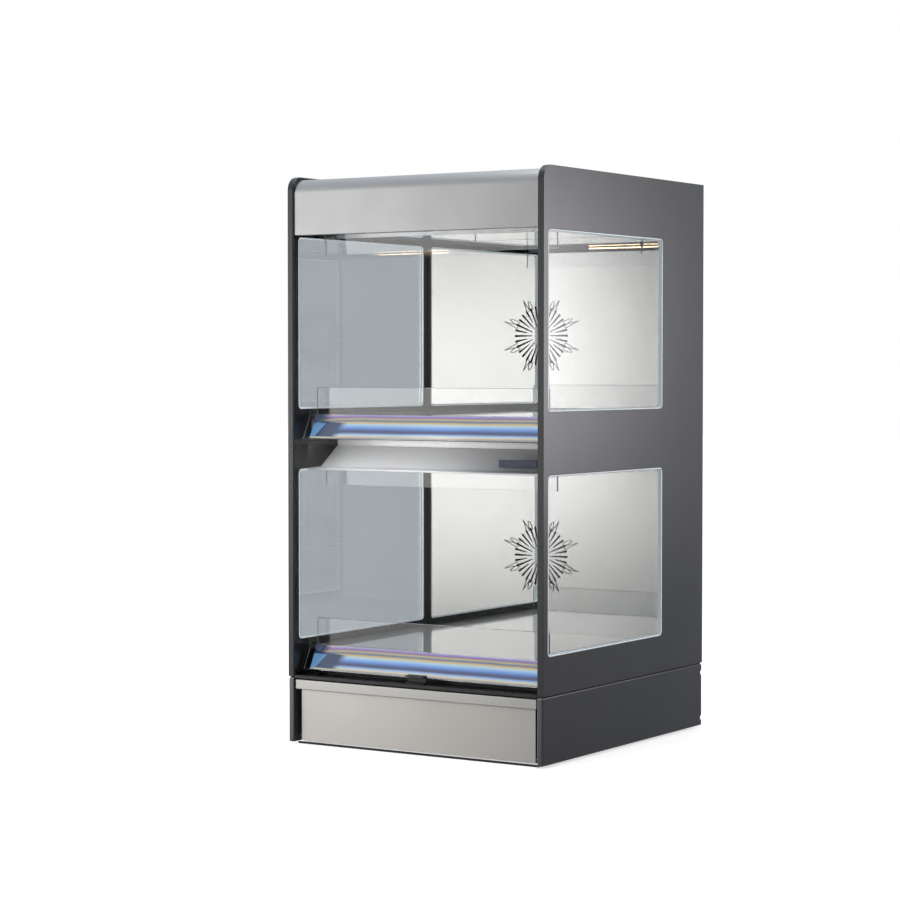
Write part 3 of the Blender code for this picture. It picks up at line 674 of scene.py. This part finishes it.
def mid_visor():
    first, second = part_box("mid_visor")
    path = [(second.y, second.z)] + from_front(
        (0.151, second.z), (0.0940, 0.5600), (0.0472, 0.5582), (0.0465, 0.5545), (0.0520, 0.5545),
    )
    item = plate("mid_visor_sheet", [thickened(softened(path, 0.0018), SHEET)], first.x, second.x, "X")
    dress(item, "visor", "brushed_steel", "mid_visor")


def badge_plate():
    first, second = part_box("badge_plate")
    outline = rounded_rectangle((first.x, first.z + 0.0022), (second.x, second.z), 0.0018, 6)
    item = plate("badge_blank", [outline], first.y, second.y, "Y", 0.0005, 3)
    dress(item, "badge", "blank_plate", "badge_plate")


def deck(tier):
    first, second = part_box(f"{tier}_deck")
    path = [(second.y, second.z), (first.y, second.z), (first.y, first.z)]
    item = plate(f"{tier}_deck_sheet", [thickened(softened(path, 0.0016), SHEET)], first.x, second.x, "X")
    dress(item, "polished", "mirror_steel", f"{tier}_deck")


# ---- clear fronts and lamps
def clear_run(names, node, outline, end, bevel, segments):
    """A clear piece along X, and the thin ground faces on its two ends. Each has its name."""
    first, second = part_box(node)
    item = plate(names[0], [outline], first.x + end, second.x - end, "X", bevel, segments)
    dress(item, "clear", "clear_acrylic", node)
    work = bmesh.new()
    add_plate(work, [outline], first.x, first.x + end - GAP, "X", GAP, 1)
    add_plate(work, [outline], second.x - end + GAP, second.x, "X", GAP, 1)
    finish_work(names[1], work, "ground", "clear_acrylic")


def guard(tier):
    first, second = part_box(f"guard_{tier}")
    corner = 0.004
    feet = [(first.x, first.z), (second.x, first.z)]
    top = arc((second.x - corner, second.z - corner), corner, 0, 90, 6)
    top += arc((first.x + corner, second.z - corner), corner, 90, 180, 6)
    item = plate(f"guard_glass_{tier}", [feet + top], first.y, second.y, "Y", 0.0004)
    dress(item, "clear", "clear_acrylic", f"guard_{tier}")
    rim = thickened([feet[0], *reversed(top), feet[1]], -0.0008)
    edge = plate(f"guard_edge_{tier}", [rim], first.y + 0.0004, first.y + 0.0014, "Y")
    dress(edge, "ground", "clear_acrylic")


def ticket_strip(tier):
    """A clear label holder that slopes forward and turns back under itself, with a sheet of painted
    reflections behind its slope.
    """
    node = f"ticket_strip_{tier}"
    first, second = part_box(node)
    back = {"upper": (0.1490, 0.6090), "lower": (0.0590, 0.1462)}[tier]
    path = from_front((0.0540, second.z), (0.0285, second.z - 0.0497), back)
    outline = thickened(softened(path, 0.0022), 0.0018)
    clear_run((f"ticket_clear_{tier}", f"ticket_edges_{tier}"), node, outline, 0.0009, FINE, 1)
    top, foot = Vector(path[0]), Vector(path[1])
    slope = (foot - top).normalized()
    inward = Vector((-slope.y, slope.x)) * 0.0022
    line = [tuple(top + inward + slope * 0.0002), tuple(foot + inward - slope * 0.0035)]
    painted_reflection = plate(f"ticket_painted_reflection_{tier}", [thickened(line, 0.0005)], first.x + 0.014, second.x - 0.001, "X")
    dress(painted_reflection, f"film_{tier}", "clear_acrylic")


def deflector(tier):
    node = f"deflector_{tier}"
    first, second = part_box(node)
    lean = 0.003 if tier == "upper" else 0.001
    thick = 0.004
    outline = [
        (second.y - thick, first.z), (second.y, first.z), (second.y - lean, second.z - GAP),
        (second.y - lean - thick, second.z - GAP),
    ]
    clear_run((f"deflector_glass_{tier}", f"deflector_edges_{tier}"), node, outline, 0.0008, 0.0004, 2)


def led_strip(tier):
    """A channel whose front wall hides a lit quarter-round diffuser from the front, with two end caps."""
    first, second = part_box(f"led_strip_{tier}")
    cap = 0.004
    wall = 0.0012
    inner_y = first.y + 0.0014 + wall
    inner_z = second.z - wall
    outline = [
        (first.y + 0.0004, second.z), (first.y + 0.0014, first.z), (inner_y, first.z),
        (inner_y, inner_z), (second.y, inner_z), (second.y, second.z),
    ]
    channel = plate(f"led_channel_{tier}", [outline], first.x + cap, second.x - cap, "X", 0.0002, 1)
    dress(channel, "galvanised", "galvanised", f"led_strip_{tier}")
    corner = (inner_y + GAP, inner_z - GAP)
    unlit = 0.31 * (second.x - first.x)
    curve = [corner] + arc(corner, 0.0022, 270, 360, 10)
    lens = plate(f"led_diffuser_{tier}", [curve], first.x + unlit, second.x - unlit, "X")
    dress(lens, "lamp", "lamp_cover")
    draft = 0.002
    shape = [
        (first.y, second.z), (first.y + draft, first.z), (second.y - draft, first.z), (second.y, second.z),
    ]
    for name, start in (("left", first.x), ("right", second.x - cap)):
        end = plate(f"led_cap_{name}_{tier}", [shape], start, start + cap, "X", 0.0004)
        dress(end, "plastic", "dark_plastic")


# ---- air outlets
def petal(angle, tip, mirror_x, mirror_z):
    """One bent tab past the slots' ends, as points round its edge from the star's centre."""
    turn = math.radians(angle)
    along = Vector((math.cos(turn) * mirror_x, math.sin(turn) * mirror_z))
    across = Vector((-along.y, along.x))
    base = 0.059
    half_width = 0.0042
    pointed = tip > 0.083
    steps = 24
    shape = []
    for step in range(steps + 1):
        t = 2 * step / steps - 1
        rise = 1 - abs(t) if pointed else math.sqrt(1 - t * t)
        aside = t * (0.75 + 0.25 * abs(t)) if pointed else t
        shape.append(along * (base + (tip - base) * rise) + across * half_width * aside)
    return shape


def star_tabs(tier):
    """Eight pairs of thin outlined tabs round the star: a rounded one beside a pointed one."""
    centre_z = middle(f"fan_{tier}").z
    face = low(f"back_wall_{tier}").y - 0.0006
    loops = []
    for mirror_x in (-1, 1):
        for mirror_z in (-1, 1):
            for angle, tip in ((25.5, 0.081), (19.0, 0.095), (68.5, 0.078), (60.5, 0.086)):
                shape = petal(angle, tip, mirror_x, mirror_z)
                loops.append([(point.x, face, point.y + centre_z) for point in shape])
    # The tabs' outlines take the duct finish, which is darkened as painted shade.
    dress(wires(f"star_tabs_{tier}", loops, 0.0006), "duct_painted_shade", "mirror_steel")


# ---- rear sheets
def screws(name, places, axis, sign):
    """Domed heads with a recess, standing off a face along an axis."""
    radius = 0.0040
    height = 0.0022
    profile = [(0.0, 0.0), (radius, 0.0), (radius * 0.98, height * 0.35)]
    for angle in (math.radians(25), math.radians(50)):
        profile.append((radius * math.cos(angle), height * (0.35 + 0.65 * math.sin(angle))))
    profile += [(radius * 0.42, height * 0.97), (radius * 0.30, height * 0.55), (0.0, height * 0.45)]
    work = bmesh.new()
    for place in places:
        add_turned(work, [(r, sign * t) for r, t in profile], place, axis, 20)
    finish_work(name, work, "galvanised", "galvanised", sharp=50)


def louvre_hood(work, x, z, half, face):
    """One pressed hood: a half-round lip over a slot, closed at its ends."""
    depth = 0.0048
    lip = z - 0.0032
    profile = [(face, z + 0.0050)]
    for angle in range(15, 91, 15):
        turn = math.radians(angle)
        profile.append((face + depth * math.sin(turn), lip + 0.0082 * math.cos(turn)))
    profile += [(face + depth - 0.0008, lip), (face, z + 0.0035)]
    add_plate(work, [profile], x - half, x + half, "X", FINE, 1)


def louvred_sheet(names, node, columns, half, rows, inset, bores=(), middle_screws=False):
    """A rear sheet with rows of slots, a pressed hood over each and screws near its edge.

    The names have a gap for what each piece is. The rows are the first row's lower limit and their number.
    """
    first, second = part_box(node)
    slots = [(x, rows[0] + LOUVRE_PITCH * (index + 0.5)) for x in columns for index in range(rows[1])]
    holes = [rounded_rectangle((x - half, z - 0.0025), (x + half, z + 0.0025), 0.0024, 3) for x, z in slots]
    edge = rectangle((first.x, first.z), (second.x, second.z))
    sheet = plate(names.format("sheet"), [edge, *bores, *holes], first.y, second.y, "Y", FINE, 1)
    dress(sheet, "coated", "coated_panel", node)
    work = bmesh.new()
    for x, z in slots:
        louvre_hood(work, x, z + 0.0015, half + 0.001, second.y)
    finish_work(names.format("hoods"), work, "coated", "coated_panel")
    sides = (first.x + inset, second.x - inset)
    heights = (first.z + inset, second.z - inset)
    places = [(x, second.y, z) for x in (sides[0], 0.0, sides[1]) for z in heights]
    if middle_screws:
        places += [(x, second.y, (first.z + second.z) / 2) for x in sides]
    screws(names.format("screws"), places, "Y", 1)


def rear_cover(tier):
    rows = (middle(f"fan_{tier}").z - 6 * LOUVRE_PITCH, 12)
    louvred_sheet(
        f"rear_{{}}_{tier}", f"rear_cover_{tier}", (-0.115, 0.115), 0.075, rows, 0.014, middle_screws=True,
    )


# ---- base
def base_side(side, sign):
    """A skirt with a chamfered top edge and two notches at its rear edge, with a gasket over it."""
    node = f"base_side_{side}"
    first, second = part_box(node)
    depth = 0.0045
    half = 0.0035
    outline = [(first.y, first.z), (second.y, first.z)]
    for z in (0.020, 0.116):
        outline += [(second.y, z - half), (second.y - depth, z - half)]
        outline += [(second.y - depth, z + half), (second.y, z + half)]
    outline += [(second.y, second.z), (first.y, second.z)]
    item = plate(f"base_skirt_{side}", [outline], first.x, second.x, "X", 0.0024, 4)
    dress(item, "coated", "coated_panel", node)
    # The chamfer faces that look up get a light grey finish: painted highlight.
    edge_faces(item, "chamfer_highlight", lambda normal: 0.30 < normal.z < 0.97)
    inner = faces_of(node)[0]
    near, far = sorted((sign * (inner + 0.0005), sign * (inner + 0.0105)))
    panel_foot = low(f"side_panel_{side}").z
    outline = rectangle((near, first.y + 0.003), (far, second.y - 0.003))
    gasket = plate(f"seam_gasket_{side}", [outline], second.z + GAP, panel_foot - GAP, "Z", FINE, 1)
    dress(gasket, "rubber", "black_trim")


def front_sill():
    """A black rail with a lip at each edge, in one piece but for the gap that the catch rises through."""
    first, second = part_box("front_sill")
    front_edge = (0.0020, 0.1336)
    front_lip = [(0.0045, 0.1385), (0.0030, 0.1402), (0.0020, 0.1397)]
    rear_lip = [(0.0600, 0.1336), (0.0600, 0.1440), (0.0588, 0.1440), (0.0570, 0.1385)]
    rail = [front_edge] + rear_lip + front_lip
    front_bar = [front_edge, (0.0115, 0.1336), (0.0115, 0.1385)] + front_lip
    rear_bar = [(0.0175, 0.1336)] + rear_lip + [(0.0175, 0.1385)]
    gap = 0.0125
    work = bmesh.new()
    for outline, start, end in (
        (rail, first.x, -gap), (rail, gap, second.x), (front_bar, -gap, gap), (rear_bar, -gap, gap),
    ):
        add_plate(work, [from_front(*outline)], start, end, "X", FINE)
    finish_work("front_sill_bar", work, "trim", "black_trim", "front_sill")


def painted_shadow_strip():
    """A black strip on the counter under the flap's lower edge: painted shadow, put where the shade beneath
    the flap falls.
    """
    first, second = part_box("flap_panel")
    outline = rounded_rectangle((first.y - 0.001, 0.0005), (first.y + 0.0035, 0.0044), 0.0005, 3)
    item = plate("flap_painted_shadow_strip", [outline], first.x - 0.008, second.x + 0.008, "X")
    dress(item, "rubber", "black_trim")


def latch():
    """A moulded catch: its stem, thumb pad and riser."""
    first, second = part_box("latch")
    work = bmesh.new()
    stem = rectangle((-0.0119, FRONT + 0.0121), (0.0119, FRONT + 0.0169))
    add_plate(work, [stem], first.z, 0.1400, "Z", 0.0005)
    profile = from_front(
        (0.0120, 0.1393), (0.0240, 0.1393), (0.0240, 0.1560), (0.0220, 0.1575), (0.0085, 0.1560),
        (0.0080, 0.1535), (0.0200, 0.1520), (0.0200, 0.1432), (0.0120, 0.1418),
    )
    add_plate(work, [profile], first.x, second.x, "X", 0.0006, 3)
    finish_work("latch_catch", work, "plastic", "dark_plastic", "latch", body="latch")


def flap():
    """The flap's panel with its hinge ears, and the folded lip along its top."""
    first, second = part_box("flap_panel")
    hem = 0.006
    path = [
        (first.y + hem, second.z - SHEET), (first.y + SHEET, second.z - SHEET),
        (first.y + SHEET, first.z), (first.y, first.z), (first.y, second.z), (first.y + hem, second.z),
    ]
    panel = plate("flap_sheet", [path], first.x, second.x, "X", 0.0004)
    dress(panel, "flap", "brushed_steel", "flap_panel", body="flap")
    work = bmesh.new()
    rod = middle("hinge_rod")
    ear = [
        (first.y + 0.0016, 0.0085), (first.y + 0.0110, 0.0085), (first.y + 0.0110, 0.0205),
        (first.y + 0.0080, 0.0260), (first.y + 0.0016, 0.0300),
    ]
    bore = circle((rod.y, rod.z), 0.0025, 24)
    for x in (-0.262, -0.004, 0.258):
        add_plate(work, [ear, bore], x, x + 0.004, "X", FINE, 1)
    finish_work("flap_ears", work, "galvanised", "brushed_steel", body="flap")
    behind = first.y + 0.0005
    first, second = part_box("flap_lip")
    path = [
        (behind, first.z), (second.y, first.z), (second.y, second.z), (first.y, second.z),
        (first.y, first.z), (first.y + 0.0035, first.z),
    ]
    outline = thickened(softened(path, 0.0012, 4), SHEET)
    lip = plate("flap_lip_fold", [outline], first.x, second.x, "X", 0.0002, 1)
    dress(lip, "lip", "brushed_steel", "flap_lip", body="flap")


def base_back():
    """The base's rear wall, with the gland's bore in it."""
    gland = middle("cable_gland")
    bore = circle((gland.x, gland.z), 0.0086, 28)
    louvred_sheet("base_rear_{}", "base_rear_panel", (-0.120,), 0.090, (0.034, 5), 0.012, bores=[bore])


def cable_gland():
    """A cable gland: a six-sided nut, a dome, a rubber seal in its mouth and a tail inside the case."""
    axis = middle("cable_gland")
    face = high("cable_gland").y - 0.018
    centre = (axis.x, face, axis.z)
    work = bmesh.new()
    hexagon = circle((axis.x, axis.z), 0.0124, 6)
    bore = circle((axis.x, axis.z), 0.0070, 32)
    add_plate(work, [hexagon, bore], face + 0.0020, face + 0.0080, "Y", 0.0006)
    dome = [
        (0.0068, 0.0078), (0.0100, 0.0078), (0.0102, 0.0095), (0.0098, 0.0140), (0.0080, 0.0172),
        (0.0068, 0.0178), (0.0056, 0.0176), (0.0056, 0.0078), (0.0068, 0.0078),
    ]
    add_turned(work, dome, centre, "Y", 36)
    finish_work("gland_body", work, "plastic", "dark_plastic", "cable_gland")
    seal = [(0.0055, 0.0160), (0.0055, 0.0060), (0.0049, 0.0060), (0.0049, 0.0158), (0.0055, 0.0160)]
    dress(turned("gland_seal", seal, centre, "Y", 32), "rubber", "dark_plastic")
    tail = [(0.0050, -0.0098), (0.0078, -0.0098), (0.0078, 0.0018), (0.0050, 0.0018), (0.0050, -0.0098)]
    dress(turned("gland_tail", tail, centre, "Y", 32), "plastic", "dark_plastic")


def levelling_foot(place):
    """A rubber pad under a moulded cup, with a threaded stem."""
    name = f"foot_{place}"
    centre = (*middle(name).xy, 0.0)
    pad = [(0.0, 0.0), (0.0158, 0.0), (0.0172, 0.0012), (0.0172, 0.0028), (0.0, 0.0028)]
    dress(turned(f"{name}_pad", pad, centre, "Z", 40), "rubber", "dark_plastic", body=name)
    cup = [
        (0.0, 0.0029), (0.0170, 0.0029), (0.0174, 0.0040), (0.0165, 0.0050), (0.0090, 0.0080), (0.0, 0.0084),
    ]
    dress(turned(f"{name}_cup", cup, centre, "Z", 40), "plastic", "dark_plastic", name, body=name)
    thread_pitch = 0.00125
    thread = [(0.0, 0.0084), (0.0046, 0.0084)]
    for turn in range(16):
        base = 0.0090 + turn * thread_pitch
        thread += [(0.0050, base), (0.0043, base + 0.0006)]
    thread += [(0.0040, 0.0298), (0.0, 0.0298)]
    dress(turned(f"{name}_stem", thread, centre, "Z", 24), "galvanised", "galvanised", body=name)


# ---- controls
SEGMENTS = {"a": (0, 1), "b": (1, 1), "c": (1, -1), "d": (0, -1), "e": (-1, -1), "f": (-1, 1), "g": (0, 0)}
DIGITS = {"8": "abcdefg", "5": "acdfg"}


def display(name, x, face, z, digits):
    """Seven-segment numerals behind a dark lens."""
    wide = 0.0034
    tall = 0.0070
    half_stroke = 0.0006
    work = bmesh.new()
    for index, digit in enumerate(digits):
        centre = x + (index - (len(digits) - 1) / 2) * 0.0105
        for segment in DIGITS[digit]:
            across, up = SEGMENTS[segment]
            if segment in "adg":
                place = (centre, z + up * tall)
                half = (wide, half_stroke)
            else:
                place = (centre + across * (wide + 0.0008), z + up * tall / 2)
                half = (half_stroke, tall / 2 - 0.0009)
            outline = rectangle(
                (place[0] - half[0], place[1] - half[1]), (place[0] + half[0], place[1] + half[1]),
            )
            add_plate(work, [outline], face - 0.0004, face - GAP, "Y")
    finish_work(name, work, "numerals", "dark_plastic")


def controller(tier):
    """A panel instrument: bezel, dark lens, numerals and the pockets of its buttons."""
    node = f"controller_{tier}"
    first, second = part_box(node)
    centre = middle(node)
    holes = []
    for role in ("up", "down"):
        key = middle(f"button_{tier}_{role}")
        holes.append(rectangle((key.x - 0.0041, key.z - 0.0031), (key.x + 0.0041, key.z + 0.0031)))
    corners = (first.x + 0.006, centre.z - 0.0115), (first.x + 0.054, centre.z + 0.0115)
    lens = rounded_rectangle(*corners, 0.0015, 4)
    edge = rounded_rectangle((first.x, first.z), (second.x, second.z), 0.003, 6)
    work = bmesh.new()
    add_plate(work, [edge, lens] + holes, first.y, first.y + 0.0042, "Y", 0.0005)
    body = rectangle((centre.x - 0.0365, centre.z - 0.0145), (centre.x + 0.0365, centre.z + 0.0145))
    add_plate(work, [body], first.y + 0.0043, second.y, "Y", 0.0006)
    finish_work(f"{node}_case", work, "plastic", "dark_plastic", node)
    lens_plate = plate(f"{node}_lens", [lens], first.y + 0.0006, first.y + 0.0030, "Y", 0.0002, 1)
    dress(lens_plate, "display", "dark_plastic")
    display(f"{node}_numerals", first.x + 0.030, first.y + 0.0006, centre.z, "85")


def button(tier, role):
    node = f"button_{tier}_{role}"
    first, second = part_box(node)
    outline = rounded_rectangle((first.x, first.z), (second.x, second.z), 0.0012, 4)
    cap = plate(f"{node}_cap", [outline], first.y, second.y, "Y", 0.0004, 3)
    dress(cap, "button", "button_plastic", node, body=node)


def control_screws():
    first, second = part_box("control_panel")
    inset = 0.010
    heights = (first.z + inset, second.z - inset)
    places = [(x, first.y, z) for x in (first.x + inset, second.x - inset) for z in heights]
    screws("control_screws", places, "Y", -1)


def build_case():
    for side, sign in SIDES.items():
        side_panel(side, sign)
        base_side(side, sign)
    top_cap()
    mid_housing()
    mid_visor()
    badge_plate()
    for tier in TIERS:
        for build in (deck, guard, ticket_strip, deflector, led_strip, star_tabs, rear_cover):
            build(tier)
    front_sill()
    painted_shadow_strip()
    latch()
    flap()
    base_back()
    cable_gland()
    for place in ("front_left", "front_right", "rear_left", "rear_right"):
        levelling_foot(place)
    for tier in TIERS:
        controller(tier)
        for role in ("up", "down"):
            button(tier, role)
    control_screws()


# The CAD nodes that stay in view, by their finish.
KEPT = {
    "polished": ("ceiling_panel",),
    "mirror": ("back_wall_lower", "back_wall_upper"),
    "duct_painted_shade": (
        "duct_divider", "duct_plate_lower", "duct_plate_upper", "heater_lower", "heater_upper", "fan_lower",
        "fan_upper",
    ),
    "galvanised": ("probe_upper", "fan_motor_lower", "fan_motor_upper", "base_tray", "hinge_rod"),
    "trim": ("lower_floor_box", "control_panel"),
    "plastic": ("switch_body", "terminal_box"),
    "button": ("switch_rocker",),
}


# ---- stage, light and camera
def floor():
    bpy.ops.mesh.primitive_plane_add(size=40, location=(0, 0, -0.0002))
    item = bpy.context.object
    item.name = "studio_floor"
    finish = Finish("studio_floor", (0.93, 0.93, 0.93))
    finish.wear(finish.noise(2), 0.55, 0.65)
    finish.set("Emission Color", (1.0, 0.985, 0.97, 1.0)).set("Emission Strength", 0.60)
    item.data.materials.append(finish.material)
    item.visible_glossy = False
    item.visible_transmission = False


def softbox(name, place, target, size, level, feather=0.0, color=(1.0, 1.0, 1.0)):
    """A rectangular lamp that faces the target. The level is how bright a mirror shows it.

    The feather is the part of its width and height, from each edge, over which it fades out.
    """
    data = bpy.data.lights.new(name, "AREA")
    data.shape = "RECTANGLE"
    data.size, data.size_y = size
    data.energy = level * math.pi * size[0] * size[1]
    data.color = color
    if feather:
        fade(data, feather)
    item = bpy.data.objects.new(name, data)
    item.location = place
    item.rotation_euler = (Vector(target) - Vector(place)).to_track_quat("-Z", "Y").to_euler()
    item.visible_camera = False
    bpy.context.scene.collection.objects.link(item)
    return item


def fade(data, feather):
    """Fade a lamp out towards its edges."""
    data.use_nodes = True
    tree = data.node_tree
    place = add_node(tree, "NewGeometry").outputs["Parametric"]
    split = add_node(tree, "SeparateXYZ", {0: place})
    levels = {}
    for index in range(2):
        fold = add_node(tree, "Math", {0: split.outputs[index], 1: 0.5}, operation="PINGPONG")
        inputs = {"Value": fold.outputs[0], "From Max": feather}
        rise = add_node(tree, "MapRange", inputs, interpolation_type="SMOOTHSTEP")
        levels[index] = rise.outputs["Result"]
    both = add_node(tree, "Math", levels, operation="MULTIPLY")
    tree.links.new(both.outputs[0], tree.nodes["Emission"].inputs["Strength"])


def surround():
    """White where it is seen directly. Elsewhere it is bluish, and brighter behind the case's left."""
    world = bpy.data.worlds.new("studio")
    bpy.context.scene.world = world
    world.use_nodes = True
    tree = world.node_tree
    place = add_node(tree, "TexCoord").outputs["Generated"]
    facing = add_node(tree, "VectorMath", {0: place, 1: (-0.85, 0.45, 0.35)}, operation="DOT_PRODUCT")
    inputs = {
        "Value": facing.outputs["Value"], "From Min": -0.12, "From Max": 0.84, "To Min": 0.05, "To Max": 1.0,
    }
    level = add_node(tree, "MapRange", inputs).outputs["Result"]
    seen = add_node(tree, "LightPath").outputs["Is Camera Ray"]
    strength = add_node(tree, "Math", {0: seen, 1: level}, operation="MAXIMUM")
    colors = {"Factor": seen, 6: (0.90, 0.99, 1.06, 1.0), 7: (1.0, 1.0, 1.0, 1.0)}
    tone = add_node(tree, "Mix", colors, data_type="RGBA")
    background = tree.nodes["Background"]
    tree.links.new(strength.outputs[0], background.inputs["Strength"])
    tree.links.new(tone.outputs[2], background.inputs["Color"])


def studio_light():
    """The surround, softboxes round the case and a slim light under its upper deck."""
    surround()
    softbox(
        "front_left_softbox", (-1.65, -1.98, 0.63), (0.05, -0.15, 0.63), (2.86, 2.35), 2.60,
        0.44, (1.0, 0.975, 0.95),
    )
    softbox(
        "right_rear_softbox", (2.15, 1.85, 0.90), (0.3, 0.0, 0.90), (1.8, 1.7), 2.95,
        0.40, (1.0, 0.965, 0.995),
    )
    softbox("front_right_softbox", (2.53, -4.0, 0.5), (0.0, 0.0, 0.5), (1.1, 2.4), 0.35)
    softbox("top_softbox", (0.3, -0.5, 3.0), (0.0, 0.0, 1.0), (2.0, 2.0), 3.6)
    shelf = softbox("shelf_light", (-0.11, -0.300, 0.600), (-0.10, -0.215, 0.575), (0.36, 0.010), 18.0)
    shelf.visible_glossy = False


def camera():
    data = bpy.data.cameras.new("view")
    data.lens = 98.9
    item = bpy.data.objects.new("view", data)
    around = math.radians(32.849)
    above = math.radians(1.941)
    level = math.cos(above)
    back = Vector((math.sin(around) * level, -math.cos(around) * level, math.sin(above)))
    item.location = (2.6839, -4.3477, 0.7646)
    item.rotation_euler = (-back).to_track_quat("-Z", "Y").to_euler()
    bpy.context.scene.collection.objects.link(item)
    bpy.context.scene.camera = item


def quality():
    """Enough bounces to see through several panes and off the polished walls."""
    scene = bpy.context.scene
    scene.view_settings.view_transform = "Standard"
    scene.cycles.max_bounces = 28
    scene.cycles.transmission_bounces = 24
    scene.cycles.glossy_bounces = 12
    scene.cycles.transparent_max_bounces = 24


build_case()
for finish_name, node_names in KEPT.items():
    for node_name in node_names:
        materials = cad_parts[node_name].data.materials
        materials.clear()
        materials.append(FINISHES[finish_name].material)
floor()
studio_light()
camera()
quality()
